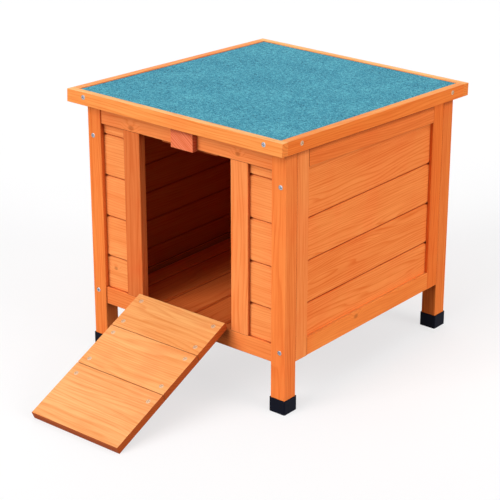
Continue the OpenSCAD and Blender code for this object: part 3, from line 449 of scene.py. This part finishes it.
# %% Joints, slopes and shaded joint ends
# the axis across the joints, the first joint and a board's cover in metres, how many joints there
# are, and the width of the dark line in them
side_boards = {"axis": 2, "first": 0.177, "cover": 0.074, "joints": 3, "line_mm": 1.4}
short_boards = side_boards | {"joints": 4, "line_mm": 0.7}
left_boards = {"axis": 2, "first": 0.148, "cover": 0.0535, "joints": 5, "line_mm": 3.0}
floor_boards = {"axis": 0, "first": -0.153, "cover": 0.070, "joints": 5, "line_mm": 2.6}
on_roof = {"turn": (2.5, 0, 0)}      # degrees that the roof falls to the back
on_ramp = {"turn": (-24.97, 0, 0)}   # degrees that the open ramp leans
at_left_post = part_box("front_left_post")[1][0]
at_right_door_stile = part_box("right_door_stile")[1][0]
at_rear_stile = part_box("right_wall_rear_stile")[0][1]
# the places where the joints end in a dot of painted shade
shaded_joint_ends = (at_left_post, at_right_door_stile, at_rear_stile)
print("stain pools at x, x and y", [round(place, 4) for place in shaded_joint_ends])

# %% [markdown]
# ## The cutting list
# One entry for each piece: the direction of its grain, its seed, its stain, and what is special
# about it. The stain follows the picture where a piece shows there, and is a guess elsewhere.

# %% The cutting list
pieces_of_fir = {
    "front_left_post": ("z", 1, "#F4823B", {}),
    "front_right_post": ("z", 2, "#F5803A", {}),
    "rear_left_post": ("z", 3, "#F8813B", {}),
    "rear_right_post": ("z", 4, "#F07C35", {}),
    "front_top_rail": ("x", 5, "#F68A47", {
        "knots": [(-0.1165, -0.1065, 0.4242, 0.0045), (0.1144, -0.1065, 0.4293, 0.0035)]}),
    "front_bottom_rail": ("x", 6, "#F58541", {}),
    "door_stop": ("x", 7, "#F28040", {}),
    "left_door_stile": ("z", 8, "#DE7338", {}),
    "right_door_stile": ("z", 9, "#F88E4B", {}),
    "front_left_boards": ("x", 10, "#FB9550", {
        "boards": short_boards, "shaded_ends": [at_left_post], "corner_shade": 0.55,
        "knots": [(-0.1667, -0.1005, 0.1567, 0.003)]}),
    "front_right_boards": ("x", 11, "#FB9550", {
        "boards": short_boards, "shaded_ends": [at_right_door_stile], "corner_shade": 0.55, "coats": [looks_back]}),
    "front_board_cleats": ("z", 12, "#EE7B3D", {}),
    "right_wall_front_stile": ("z", 13, "#FE8D47", {}),
    "right_wall_rear_stile": ("z", 14, "#F1742B", {"corner_shade": 0.25}),
    # a darker stain and the most corner shade: the painted shadow of the roof's side trim
    "right_wall_top_rail": ("y", 15, "#F27A34", on_roof | {"corner_shade": 1.0}),
    "right_wall_bottom_rail": ("y", 16, "#FB863A", {
        "corner_shade": 0.2, "coats": [looks_up], "knots": [(0.214, 0.0854, 0.1102, 0.004)]}),
    "right_wall_boards": ("y", 17, "#FC8840", {
        "boards": side_boards, "shaded_ends": [at_rear_stile], "rings": 1.4, "bends": 1.5, "corner_shade": 0.4,
        "coats": [looks_left]}),
    "left_wall_front_stile": ("z", 18, "#FE8D47", {}),
    "left_wall_rear_stile": ("z", 19, "#FC8239", {}),
    "left_wall_top_rail": ("y", 20, "#FA843C", on_roof),
    "left_wall_bottom_rail": ("y", 21, "#FD873B", {"coats": [looks_right]}),
    "left_wall_boards": ("y", 22, "#FA843E", {"boards": left_boards, "coats": [looks_right]}),
    "back_wall_left_stile": ("z", 23, "#FA843C", {}),
    "back_wall_right_stile": ("z", 24, "#FC8640", {}),
    "back_wall_top_rail": ("x", 25, "#FC8740", {}),
    "back_wall_bottom_rail": ("x", 26, "#FA843C", {}),
    "back_wall_boards": ("x", 27, "#F88340", {"boards": side_boards, "coats": [looks_front]}),
    "floor_boards": ("y", 28, "#EE7434", {"boards": floor_boards}),
    "floor_bearers": ("x", 29, "#E8803E", {}),
    "roof_front_trim": ("x", 30, "#FA964A", {"end": "#FF9040", "coats": [looks_up]}),
    "roof_back_trim": ("x", 31, "#FA964A", {"end": "#FF9040", "coats": [looks_up]}),
    "roof_left_trim": ("y", 32, "#FB8036", on_roof | {"coats": [looks_up]}),
    "roof_right_trim": ("y", 33, "#F47C30", on_roof | {"coats": [looks_up]}),
    "ramp_upper_board": ("x", 44, "#ED9F5C", on_ramp | {"end": "#BC5822", "corner_shade": 0.5}),
    "ramp_middle_board": ("x", 35, "#ED9F5E", on_ramp | {"end": "#B4521F", "corner_shade": 0.5}),
    "ramp_lower_board": ("x", 36, "#EDA162", on_ramp | {
        "end": "#B4521F", "corner_shade": 0.5, "coats": [ramp_end]}),
    "ramp_left_batten": ("y", 37, "#E88C4C", on_ramp),
    "ramp_right_batten": ("y", 38, "#E88C4C", on_ramp),
    "turn_button": ("x", 39, "#F4855A", {"turn": (0, -38, 0), "rings": 2.0, "end": "#B2522C"}),
    "roof_panel": ("x", 40, "#D0915A", {"rings": 0.6}),
    "back_wall_dowels": ("x", 41, "#DDBE8C", {}),
}
for name, (grain, seed, stain, extra) in pieces_of_fir.items():
    finish = stained_fir("Stained fir " + name, grain, seed, stain, **extra)
    nodes[name].material_slots[0].material = finish
print("pieces of wood finished:", len(pieces_of_fir))

# %% [markdown]
# ## Zinc-plated steel
# The screws and hinges are pressed or rolled steel with a thin bright zinc coat. Zinc gives a cool
# grey with a soft, slightly cloudy shine, because the plating is made of tiny crystals and is
# rubbed by handling. So the metal is full metallic, and noise moves its roughness and colour a
# little. The driver's recess is painted dark, as shade, and how closed in a point is finds the
# recess. The screws of the ramp and of the roof's side trims are faint and warm, as if stain was
# brushed over them, so on those a film of stain hides most of the metal.

# %% Zinc
CLOUD_MM = 3.0    # patches where the plating was rubbed
CRYSTAL_MM = 0.5  # real crystals are finer still, so they are drawn as coarse as shows
RECESS_MM = 1.6   # painted shade fills the recess where a wall is this near


def zinc_plated_steel(name, light="#CDD1D9", shade="#A0A6B2", recess_shade="#1E1E26", bare=1.0):
    """Zinc-plated steel; bare is the share of metal that no film of stain hides."""
    material, tree, out = new_material(name)
    place = add(tree, "ShaderNodeTexCoord").outputs["Object"]
    cloud = {"Vector": place, "Scale": MM / CLOUD_MM, "Detail": 3.0}
    cloud = add(tree, "ShaderNodeTexNoise", cloud).outputs["Fac"]
    crystal = add(tree, "ShaderNodeTexNoise", {"Vector": place, "Scale": MM / CRYSTAL_MM}).outputs["Fac"]
    closed_in = add(tree, "ShaderNodeAmbientOcclusion", {"Distance": RECESS_MM / MM}, samples=8).outputs["AO"]
    # painted shade in the driver's recess, in the colour recess_shade
    shaded_recess = {0: closed_in, 1: 0.3, 2: 0.88, 3: 0.95, 4: 0.0}
    shaded_recess = add(tree, "ShaderNodeMapRange", shaded_recess, **EASED).outputs[0]
    colour = add(tree, "ShaderNodeMix", {0: cloud, 6: paint(light), 7: paint(shade)}, **MIX).outputs[2]
    colour = add(tree, "ShaderNodeMix", {0: shaded_recess, 6: colour, 7: paint(recess_shade)}, **MIX).outputs[2]
    bump = add(tree, "ShaderNodeBump", {"Height": crystal, "Distance": 0.00003, "Strength": 0.4})
    metal = add(tree, "ShaderNodeBsdfPrincipled", {
        "Base Color": colour, "Metallic": bare, "Normal": bump.outputs[0],
        "Roughness": weighed(tree, (cloud, 0.18), (1.0, 0.26))})
    tree.links.new(metal.outputs[0], out.inputs[0])
    return material


zinc = zinc_plated_steel("Zinc plated steel")
wiped_zinc = zinc_plated_steel("Zinc plated steel wiped with stain", "#E9C8A6", "#D8AC84", "#B07A4C", 0.3)
steel_nodes = [name for name in nodes if "leaves" in name or "pins" in name or "screw" in name]
for name in steel_nodes:
    nodes[name].material_slots[0].material = zinc
print("zinc on", len(steel_nodes), "nodes")

# %% [markdown]
# ## Moulded black plastic
# The foot caps are injection-moulded polypropylene, coloured nearly black with a blue cast. The mould
# leaves a fine grain of about half a millimetre, and use leaves pale scuffs along the edges, which
# are also a painted highlight there.

# %% Black polypropylene
MOULD_MM = 0.6      # grain that the mould leaves
SCUFF_MM = 7.0      # patches that are more or less rubbed
CAP_EDGE_MM = 0.7   # how round the edges of a cap are


def black_polypropylene():
    """Moulded polypropylene of the foot caps."""
    material, tree, out = new_material("Black moulded polypropylene")
    place = add(tree, "ShaderNodeTexCoord").outputs["Object"]
    grain = add(tree, "ShaderNodeTexNoise", {"Vector": place, "Scale": MM / MOULD_MM}).outputs["Fac"]
    scuff = {"Vector": place, "Scale": MM / SCUFF_MM, "Detail": 4.0}
    scuff = add(tree, "ShaderNodeTexNoise", scuff).outputs["Fac"]
    rounded = add(tree, "ShaderNodeBevel", {"Radius": CAP_EDGE_MM / MM}, samples=6).outputs[0]
    true = add(tree, "ShaderNodeNewGeometry").outputs["Normal"]
    edge = add(tree, "ShaderNodeVectorMath", {0: rounded, 1: true}, operation="DOT_PRODUCT").outputs[1]
    edge = add(tree, "ShaderNodeMapRange", {0: edge, 1: 0.8, 2: 1.0, 3: 1.0, 4: 0.0}, **EASED).outputs[0]
    # pale scuffs along the edges, where the paler colour is also a painted highlight
    worn_and_highlit = add(tree, "ShaderNodeMath", {0: edge, 1: scuff}, operation="MULTIPLY").outputs[0]
    colour = {0: scuff, 6: paint("#080911"), 7: paint("#0E1120")}
    colour = add(tree, "ShaderNodeMix", colour, **MIX).outputs[2]
    colour = add(tree, "ShaderNodeMix", {0: worn_and_highlit, 6: colour, 7: paint("#343844")}, **MIX).outputs[2]
    bump = add(tree, "ShaderNodeBump", {
        "Height": grain, "Normal": rounded, "Distance": 0.00005, "Strength": 0.5})
    plastic = add(tree, "ShaderNodeBsdfPrincipled", {
        "Base Color": colour, "Normal": bump.outputs[0], "IOR": 1.49, "Specular IOR Level": 0.06,
        "Roughness": weighed(tree, (scuff, 0.2), (1.0, 0.45))})
    tree.links.new(plastic.outputs[0], out.inputs[0])
    return material


plastic = black_polypropylene()
caps = [name for name in nodes if "foot_cap" in name]
for name in caps:
    nodes[name].material_slots[0].material = plastic
print("plastic on", len(caps), "foot caps")

# %% [markdown]
# ## Mineral felt
# Roofing felt is a bitumen sheet pressed full of crushed, coloured slate. Two layers give that look:
# the sheet itself, speckled where grains are packed tight, and a sparse layer of real grains on top
# that catch the light. The grains stand at random and are all of one kind, which is a job for
# Geometry Nodes: scatter points on the sheet's top, put a small angular stone on each one, turn and
# size it at random, and keep a random number on it that the material turns into its shade.

# %% Shades of slate
# shades grow lighter with the value, and the few values above 0.98 drop back to a middle shade
SLATE = {0.05: "#124F67", 0.4: "#28839B", 0.98: "#70C2CF", 0.9801: "#3A98AF"}


def slate_colour(tree, value):
    """A shade of crushed slate for each value from 0 to 1."""
    shades = add(tree, "ShaderNodeValToRGB", {0: value})
    band = shades.color_ramp
    # a ramp starts with two stops; a new one is sorted in where it is made, and never again later
    for i, (position, shade) in enumerate(SLATE.items()):
        stop = band.elements[i] if i < 2 else band.elements.new(position)
        stop.position = position
        stop.color = paint(shade)
    return shades.outputs[0]


print("felt shades", list(SLATE.values()))

# %% [markdown]
# ## The sheet and its grains
# The sheet's speckles are the cells of a Voronoi pattern, one for each grain that is pressed in, and
# noise drifts their shade over a few millimetres and over a hand's width. The loose grains read the
# number that each one carries. Slate is matt, and a broken face shines a little.

# %% Felt and grains
SPECKLE_MM = 1.7  # a pressed grain, drawn a little coarser than it is so that it shows
DRIFT_MM = 5.0    # small clouds of darker and lighter grains
PATCH_MM = 60.0   # and large ones
GRIT_MM = 0.5     # broken faces of one grain


def mineral_felt():
    """The sheet, with its packed grains."""
    material, tree, out = new_material("Mineral roofing felt")
    place = add(tree, "ShaderNodeTexCoord").outputs["Object"]
    cells = add(tree, "ShaderNodeTexVoronoi", {"Vector": place, "Scale": MM / SPECKLE_MM})
    pick = add(tree, "ShaderNodeSeparateColor", {0: cells.outputs["Color"]}).outputs[0]
    drift = {"Vector": place, "Scale": MM / DRIFT_MM, "Detail": 3.0}
    drift = add(tree, "ShaderNodeTexNoise", drift).outputs["Fac"]
    patch = add(tree, "ShaderNodeTexNoise", {"Vector": place, "Scale": MM / PATCH_MM}).outputs["Fac"]
    value = weighed(tree, (pick, 0.55), (drift, 0.9), (patch, 0.35), (1.0, -0.42))
    bump = add(tree, "ShaderNodeBump", {
        "Height": cells.outputs["Distance"], "Distance": 0.0004, "Strength": 0.6})
    felt = add(tree, "ShaderNodeBsdfPrincipled", {
        "Base Color": slate_colour(tree, value), "Normal": bump.outputs[0],
        "Roughness": 0.85, "Specular IOR Level": 0.25})
    tree.links.new(felt.outputs[0], out.inputs[0])
    return material


def crushed_slate():
    """The loose grains, each shaded by its own number."""
    material, tree, out = new_material("Crushed slate grains")
    shade = add(tree, "ShaderNodeAttribute", attribute_name="shade").outputs["Fac"]
    place = add(tree, "ShaderNodeTexCoord").outputs["Object"]
    grit = add(tree, "ShaderNodeTexNoise", {"Vector": place, "Scale": MM / GRIT_MM}).outputs["Fac"]
    value = weighed(tree, (shade, 0.9), (grit, 0.3), (1.0, -0.08))
    stone = add(tree, "ShaderNodeBsdfPrincipled", {
        "Base Color": slate_colour(tree, value), "Roughness": 0.7, "Specular IOR Level": 0.35})
    tree.links.new(stone.outputs[0], out.inputs[0])
    return material


felt_finish = mineral_felt()
grain_finish = crushed_slate()
nodes["roofing_felt"].material_slots[0].material = felt_finish
print("felt speckled every", SPECKLE_MM, "mm")

# %% [markdown]
# ## Running a Geometry Nodes tree
# A modifier's inputs are set by the identifiers of the tree's sockets. The evaluated object is then
# turned into a plain mesh, the modifier goes, and the piece rides on its body like any other.

# %% Build, run and keep
def new_tree(name, inputs):
    """An empty geometry tree with one geometry in and out, and named number inputs."""
    tree = bpy.data.node_groups.new(name, "GeometryNodeTree")
    tree.interface.new_socket("Geometry", in_out="INPUT", socket_type="NodeSocketGeometry")
    for label, value in inputs.items():
        kind = "NodeSocketInt" if isinstance(value, int) else "NodeSocketFloat"
        tree.interface.new_socket(label, in_out="INPUT", socket_type=kind).default_value = value
    tree.interface.new_socket("Geometry", in_out="OUTPUT", socket_type="NodeSocketGeometry")
    return tree, tree.nodes.new("NodeGroupInput").outputs, tree.nodes.new("NodeGroupOutput")


def finish_tree(tree, geometry, material, out):
    """Ends a tree with real faces in their material."""
    real = add(tree, "GeometryNodeRealizeInstances", {0: geometry}).outputs[0]
    done = add(tree, "GeometryNodeSetMaterial", {"Geometry": real, "Material": material}).outputs[0]
    tree.links.new(done, out.inputs[0])


def run_tree(name, mesh, tree, sizes, body, replaced=()):
    """Runs the tree on a mesh and keeps the result as a plain piece that rides on a body."""
    carrier = bpy.data.objects.new(name + "_points", mesh)
    bpy.context.scene.collection.objects.link(carrier)
    modifier = carrier.modifiers.new("Made", "NODES")
    modifier.node_group = tree
    for item in tree.interface.items_tree:
        if item.in_out == "INPUT" and item.name in sizes:
            modifier[item.identifier] = sizes[item.name]
    graph = bpy.context.evaluated_depsgraph_get()
    made = bpy.data.meshes.new_from_object(
        carrier.evaluated_get(graph), preserve_all_data_layers=True, depsgraph=graph)
    bpy.data.objects.remove(carrier)
    piece = bpy.data.objects.new(name, made)
    bpy.context.scene.collection.objects.link(piece)
    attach(piece, body)
    if replaced:
        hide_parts(*replaced)
    print(name, "faces", len(made.polygons), "on", body)
    return piece


# %% [markdown]
# ## Grains of slate on the felt
# Only the sheet's upper face takes grains, so its upward triangles are copied out of the CAD node
# first. A grain is an octahedron, the fewest faces that still look like a broken stone, a little
# flattened and half sunk into the sheet, as a roller leaves it.

# %% Scatter the slate
GRAINS = {"Grains per m2": 100000.0, "Grain size": 0.0016, "Seed": 7}


def upper_face(name):
    """A mesh of the triangles of a CAD node that look up."""
    form = bmesh.new()
    form.from_mesh(nodes[name].data)
    form.normal_update()
    bmesh.ops.delete(form, geom=[f for f in form.faces if f.normal.z < 0.9], context="FACES")
    mesh = bpy.data.meshes.new(name + "_top")
    form.to_mesh(mesh)
    form.free()
    return mesh


tree, given, out = new_tree("Slate grains", GRAINS)
spread = add(tree, "GeometryNodeDistributePointsOnFaces", {
    "Mesh": given["Geometry"], "Density": given["Grains per m2"], "Seed": given["Seed"]})
stone = add(tree, "GeometryNodeMeshUVSphere", {
    "Segments": 4, "Rings": 2, "Radius": weighed(tree, (given["Grain size"], 0.5))}).outputs["Mesh"]
spin = add(tree, "FunctionNodeRandomValue", {
    0: (-0.5, -0.5, 0.0), 1: (0.5, 0.5, 6.28), "Seed": given["Seed"]}, data_type="FLOAT_VECTOR").outputs[0]
size = add(tree, "FunctionNodeRandomValue", {
    0: (0.55, 0.5, 0.35), 1: (1.35, 1.1, 0.75), "Seed": 3}, data_type="FLOAT_VECTOR").outputs[0]
placed = add(tree, "GeometryNodeInstanceOnPoints", {
    "Points": spread.outputs["Points"], "Instance": stone, "Rotation": spin, "Scale": size}).outputs[0]
shade = add(tree, "FunctionNodeRandomValue", {2: 0.0, 3: 1.0, "Seed": 11}, data_type="FLOAT").outputs[1]
marked = add(tree, "GeometryNodeStoreNamedAttribute", {
    "Geometry": placed, "Name": "shade", "Value": shade}, data_type="FLOAT", domain="INSTANCE").outputs[0]
finish_tree(tree, marked, grain_finish, out)
run_tree("slate_grains", upper_face("roofing_felt"), tree, GRAINS, "roof")

# %% [markdown]
# ## Where the screws are
# The CAD screws are plain discs on shanks, and a cross-head screw takes the place of each. Its place
# could be typed in, but then it would stay behind if the model changed. So each screw's island of
# faces is measured instead: its largest flat face gives its direction, and its wider end is the head.
# Islands are taken in the mesh's own order, never out of a set, whose order changes with each run
# and would deal the random turns of the heads to other screws.

# %% Measure the CAD screws
SAME_PLACE = 1e-6  # metres within which two corners are one
SAME_END = 1e-5    # metres within which a corner belongs to the end of a screw


def screw_places(name):
    """For each screw: middle of the head's face, direction out of the wood, head's radius, length."""
    form = bmesh.new()
    form.from_mesh(nodes[name].data)
    bmesh.ops.remove_doubles(form, verts=form.verts, dist=SAME_PLACE)
    form.normal_update()
    seen, places = set(), []
    for start in form.verts:
        if start in seen:
            continue
        seen.add(start)
        island = [start]
        for vertex in island:  # the island grows while it is walked
            others = [link.other_vert(vertex) for link in vertex.link_edges]
            island += [other for other in others if other not in seen]
            seen.update(others)
        areas = {}
        for face in dict.fromkeys(f for v in island for f in v.link_faces):
            key = tuple(round(c, 3) for c in face.normal)
            areas[key] = areas.get(key, 0.0) + face.calc_area()
        axis = Vector(max(areas, key=areas.get)).normalized()
        middle = sum((v.co for v in island), Vector()) / len(island)
        reach = [(v.co - middle).dot(axis) for v in island]
        ends = []
        for limit in (max(reach), min(reach)):
            ring = [v.co for v in island if abs((v.co - middle).dot(axis) - limit) < SAME_END]
            centre = sum(ring, Vector()) / len(ring)
            ends.append((max((p - centre).length for p in ring), centre))
        head, tip = max(ends, key=lambda e: e[0]), min(ends, key=lambda e: e[0])
        places.append((head[1], (head[1] - tip[1]).normalized(), head[0], (head[1] - tip[1]).length))
    form.free()
    return places


for name in ("post_screws", "roof_trim_screws", "ramp_screws", "house_hinge_screws"):
    found = screw_places(name)
    radius_mm, length_mm = [round(size * MM, 1) for size in found[0][2:]]
    print(name, len(found), "head radius mm", radius_mm, "length mm", length_mm)

# %% [markdown]
# ## The head of a cross-head screw
# A real screw has a flat head with a small chamfer, a tapered neck, and a cross-shaped recess for
# the driver. The head is two cones joined, and two bars and a pit are cut out of it by a boolean.
# It is made in millimetres, because an exact cut leaves cleaner faces on larger numbers, and merging
# close corners afterwards leaves it closed.

# %% Cut the head
MERGE_MM = 0.004  # corners nearer than this are one
tree, given, out = new_tree("Cross-head screw", {
    "Head radius": 3.6, "Head height": 1.4, "Shank radius": 1.6, "Length": 32.0})
radius, height = given["Head radius"], given["Head height"]


def lifted(geometry, height, turn=0.0):
    """Geometry moved along the screw and turned about it."""
    move = add(tree, "ShaderNodeCombineXYZ", {2: height}).outputs[0]
    return add(tree, "GeometryNodeTransform", {
        "Geometry": geometry, "Translation": move, "Rotation": (0.0, 0.0, turn)}).outputs[0]


rim = add(tree, "GeometryNodeMeshCone", {
    "Vertices": 28, "Radius Top": weighed(tree, (radius, 0.9)), "Radius Bottom": radius,
    "Depth": weighed(tree, (height, 0.2))}).outputs[0]
neck = add(tree, "GeometryNodeMeshCone", {
    "Vertices": 28, "Radius Top": radius, "Radius Bottom": weighed(tree, (radius, 0.55)),
    "Depth": weighed(tree, (height, 0.8))}).outputs[0]
bar_size = add(tree, "ShaderNodeCombineXYZ", {
    0: weighed(tree, (radius, 1.35)), 1: weighed(tree, (radius, 0.34)),
    2: weighed(tree, (height, 1.4))}).outputs[0]
bar = add(tree, "GeometryNodeMeshCube", {"Size": bar_size}).outputs[0]
pit = add(tree, "GeometryNodeMeshCone", {
    "Vertices": 16, "Radius Top": weighed(tree, (radius, 0.5)),
    "Radius Bottom": weighed(tree, (radius, 0.15)), "Depth": weighed(tree, (height, 1.5))}).outputs[0]
head = add(tree, "GeometryNodeMeshBoolean", operation="UNION", solver="EXACT")
for part in (lifted(neck, weighed(tree, (height, -1.0))), lifted(rim, weighed(tree, (height, -0.2)))):
    tree.links.new(part, head.inputs[1])
cut = add(tree, "GeometryNodeMeshBoolean", {0: head.outputs[0]}, operation="DIFFERENCE", solver="EXACT")
for part in (lifted(bar, 0.0), lifted(bar, 0.0, math.pi / 2), lifted(pit, weighed(tree, (height, -0.65)))):
    tree.links.new(part, cut.inputs[1])
closed = add(tree, "GeometryNodeMergeByDistance", {
    "Geometry": cut.outputs[0], "Distance": MERGE_MM}).outputs[0]
print("head of a cross-head screw, nodes so far", len(tree.nodes))

# %% [markdown]
# ## A shank, and a screw at every place
# The shank is hidden in the wood, so it is a plain round bar a little shorter than the real one. The
# whole screw is put on each measured place, turned to look out of the wood, spun at random, since
# nobody lines up the crosses by hand, and shrunk from millimetres to metres.

# %% Put the screws in
whole = add(tree, "GeometryNodeJoinGeometry")
shank = add(tree, "GeometryNodeMeshCylinder", {
    "Vertices": 12, "Radius": given["Shank radius"],
    "Depth": weighed(tree, (given["Length"], 0.82))}).outputs[0]
for part in (closed, lifted(shank, weighed(tree, (given["Length"], -0.41), (height, -0.9)))):
    tree.links.new(part, whole.inputs[0])
outward = add(tree, "GeometryNodeInputNamedAttribute", {
    "Name": "outward"}, data_type="FLOAT_VECTOR").outputs[0]
facing = add(tree, "FunctionNodeAlignRotationToVector", {"Vector": outward}, axis="Z").outputs[0]
spun = add(tree, "FunctionNodeRandomValue", {
    0: (0.0, 0.0, 0.0), 1: (0.0, 0.0, 1.5), "Seed": 5}, data_type="FLOAT_VECTOR").outputs[0]
turned = add(tree, "FunctionNodeRotateRotation", {0: facing, 1: spun}, rotation_space="LOCAL").outputs[0]
points = add(tree, "GeometryNodeMeshToPoints", {"Mesh": given["Geometry"]}).outputs[0]
placed = add(tree, "GeometryNodeInstanceOnPoints", {
    "Points": points, "Instance": whole.outputs[0], "Rotation": turned,
    "Scale": (1 / MM, 1 / MM, 1 / MM)}).outputs[0]
finish_tree(tree, placed, zinc, out)


def cross_head_screws(cad_node, body, head_mm, shank_mm, metal=zinc):
    """Replaces the screws of a CAD node; head_mm is the head's height, shank_mm the shank's radius."""
    places = screw_places(cad_node)
    mesh = bpy.data.meshes.new(cad_node + "_places")
    mesh.from_pydata([place[0] for place in places], [], [])
    outward = mesh.attributes.new("outward", "FLOAT_VECTOR", "POINT")
    for i, place in enumerate(places):
        outward.data[i].vector = place[1]
    radius_mm, length_mm = [round(size * MM, 3) for size in places[0][2:]]
    sizes = {"Head radius": radius_mm, "Head height": head_mm, "Shank radius": shank_mm, "Length": length_mm}
    piece = run_tree("cross_head_" + cad_node, mesh, tree, sizes, body, [cad_node])
    for i in range(len(piece.data.materials)):
        piece.data.materials[i] = metal
    return piece


cross_head_screws("post_screws", "house", 1.3, 1.6)
cross_head_screws("house_hinge_screws", "house", 1.2, 1.2)
trim_screws = cross_head_screws("roof_trim_screws", "roof", 1.3, 1.6)
cross_head_screws("roof_hinge_screws", "roof", 1.2, 1.2)
cross_head_screws("ramp_screws", "ramp", 1.0, 1.6, wiped_zinc)
cross_head_screws("ramp_hinge_screws", "ramp", 1.2, 1.2)
cross_head_screws("turn_button_screw", "turn_button", 2.2, 2.0)

# %% [markdown]
# ## Screws of the side trims
# The roof's screws are one piece but not of one finish: the picture shows bright ones in the front
# trim and faint ones in the side trim, and the back trim, which doesn't show, is taken to be like
# the front. The screws in the side trims stand further from both ends of the roof, so their faces
# are found by that and given the wiped zinc.

# %% Wipe the side trims' screws with stain
END_TRIM_REACH = 0.04  # the front and back trims' screws are within this many metres of the outermost
along = [v.co.y for v in trim_screws.data.vertices]
trim_screws.data.materials.append(wiped_zinc)
toned = 0
for face in trim_screws.data.polygons:
    if min(along) + END_TRIM_REACH < face.center.y < max(along) - END_TRIM_REACH:
        face.material_index = len(trim_screws.data.materials) - 1
        toned += 1
print("wiped faces", toned, "of", len(trim_screws.data.polygons))

# %% [markdown]
# ## Floor and backdrop
# The floor is white paper to the camera: two thirds of its white is its own, so that shadows on it
# stay pale, and one third is the light that falls on it. To bounced light it is a darker cloth, so
# that it doesn't fill every shadow under the house. The sky does the same: white where the camera,
# a mirror or glass sees it, and a dim, even light on the house.

# %% Floor and world
OWN_WHITE = 0.68  # how much of the floor's white is its own
SKY_LEVEL = 0.28  # strength of the sky's light on the house
PAPER_MM = 400.0  # patches in which the paper's white changes a little
FLOOR_SIZE = 60   # metres, far enough to reach the horizon in every view


def seen_straight(tree):
    """1 for rays from the camera, or by way of a mirror or glass, and 0 for bounced light."""
    path = add(tree, "ShaderNodeLightPath").outputs
    seen = path["Is Camera Ray"]
    for ray in ("Is Glossy Ray", "Is Transmission Ray"):
        seen = add(tree, "ShaderNodeMath", {0: seen, 1: path[ray]}, operation="MAXIMUM").outputs[0]
    return seen


def studio_floor():
    """White paper with a slightly uneven tone, so that no patch of it is a single flat colour."""
    material, tree, out = new_material("White studio floor")
    seen = seen_straight(tree)
    place = add(tree, "ShaderNodeTexCoord").outputs["Object"]
    cloud = add(tree, "ShaderNodeTexNoise", {"Vector": place, "Scale": MM / PAPER_MM}).outputs["Fac"]
    paper = {0: cloud, 6: paint("#FDFDFD"), 7: paint("#FAFAFB")}
    paper = add(tree, "ShaderNodeMix", paper, **MIX).outputs[2]
    colour = add(tree, "ShaderNodeMix", {0: seen, 6: paint("#8E8C8A"), 7: paper}, **MIX).outputs[2]
    cloth = add(tree, "ShaderNodeBsdfDiffuse", {"Color": colour}).outputs[0]
    white = add(tree, "ShaderNodeEmission", {"Color": paper, "Strength": 1.0}).outputs[0]
    share = weighed(tree, (seen, OWN_WHITE))
    mixed = add(tree, "ShaderNodeMixShader", {0: share, 1: cloth, 2: white}).outputs[0]
    tree.links.new(mixed, out.inputs[0])
    return material


bpy.ops.mesh.primitive_plane_add(size=FLOOR_SIZE, location=(0, 0, 0))
floor = bpy.context.object
floor.name = "studio_floor"
floor.data.materials.append(studio_floor())

world = bpy.data.worlds.new("Studio")
bpy.context.scene.world = world
world.use_nodes = True
sky = world.node_tree
sky.nodes.clear()
level = add(sky, "ShaderNodeMapRange", {0: seen_straight(sky), 3: SKY_LEVEL, 4: 1.0}).outputs[0]
white = add(sky, "ShaderNodeBackground", {"Color": (1, 1, 1, 1), "Strength": level})
add(sky, "ShaderNodeOutputWorld", {0: white.outputs[0]})
print("floor", floor.name, "sky level", SKY_LEVEL)

# %% [markdown]
# ## Lamps
# A product picture is lit by large soft lamps, so shadows have no hard edge. Broad suns do the same
# at any size: one in front and above for the face of the house, a weaker one overhead, one from the
# right and slightly behind, which lights the side wall but doesn't reach in through the door, and a
# weak one for the back and the left, which the picture doesn't show but a visitor walks round to.

# %% Hang the lamps
LAMPS = {  # direction seen from the house, strength, and how wide the lamp looks in degrees
    "Front lamp": ((-0.20, -0.88, 0.42), 0.78, 40),
    "Top lamp": ((-0.05, -0.20, 0.98), 0.28, 60),
    "Right lamp": ((0.94, 0.12, 0.26), 0.63, 40),
    "Back lamp": ((-0.62, 0.76, 0.16), 0.36, 60),
}
for name, (toward, strength, spread) in LAMPS.items():
    lamp = bpy.data.lights.new(name, "SUN")
    lamp.energy = strength * math.pi
    lamp.angle = math.radians(spread)
    rig = bpy.data.objects.new(name, lamp)
    rig.rotation_euler = Vector(toward).to_track_quat("Z", "Y").to_euler()
    bpy.context.scene.collection.objects.link(rig)
print("lamps", list(LAMPS))

# %% [markdown]
# ## Camera
# The camera stands where the photographer's did. Guessing it by eye never lines up, so it was fitted:
# the corners of posts, roof, doorway and ramp were matched with the same corners in the picture, and
# the direction, distance and lens with the smallest errors were kept.

# %% Set the camera up
AZIMUTH, ELEVATION, DISTANCE = math.radians(39.47), math.radians(22.19), 3.0733
TARGET = Vector((-0.0512, 0.12502, 0.1499))
FOCAL_PIXELS, PICTURE_PIXELS = 1713.62, 500
back = Vector((math.sin(AZIMUTH) * math.cos(ELEVATION), -math.cos(AZIMUTH) * math.cos(ELEVATION),
               math.sin(ELEVATION)))
right = Vector((math.cos(AZIMUTH), math.sin(AZIMUTH), 0.0))
up = back.cross(right)
lens = bpy.data.cameras.new("Camera")
lens.sensor_width = 36.0
lens.lens = lens.sensor_width * FOCAL_PIXELS / PICTURE_PIXELS
lens.clip_end = 200.0
camera = bpy.data.objects.new("Camera", lens)
turned_to_house = Matrix((right, up, back)).transposed().to_4x4()
camera.matrix_world = Matrix.Translation(TARGET + back * DISTANCE) @ turned_to_house
bpy.context.scene.collection.objects.link(camera)
bpy.context.scene.camera = camera
bpy.context.scene.view_settings.view_transform = "Standard"
print("camera at", [round(v, 3) for v in camera.location], "lens mm", round(lens.lens, 1))
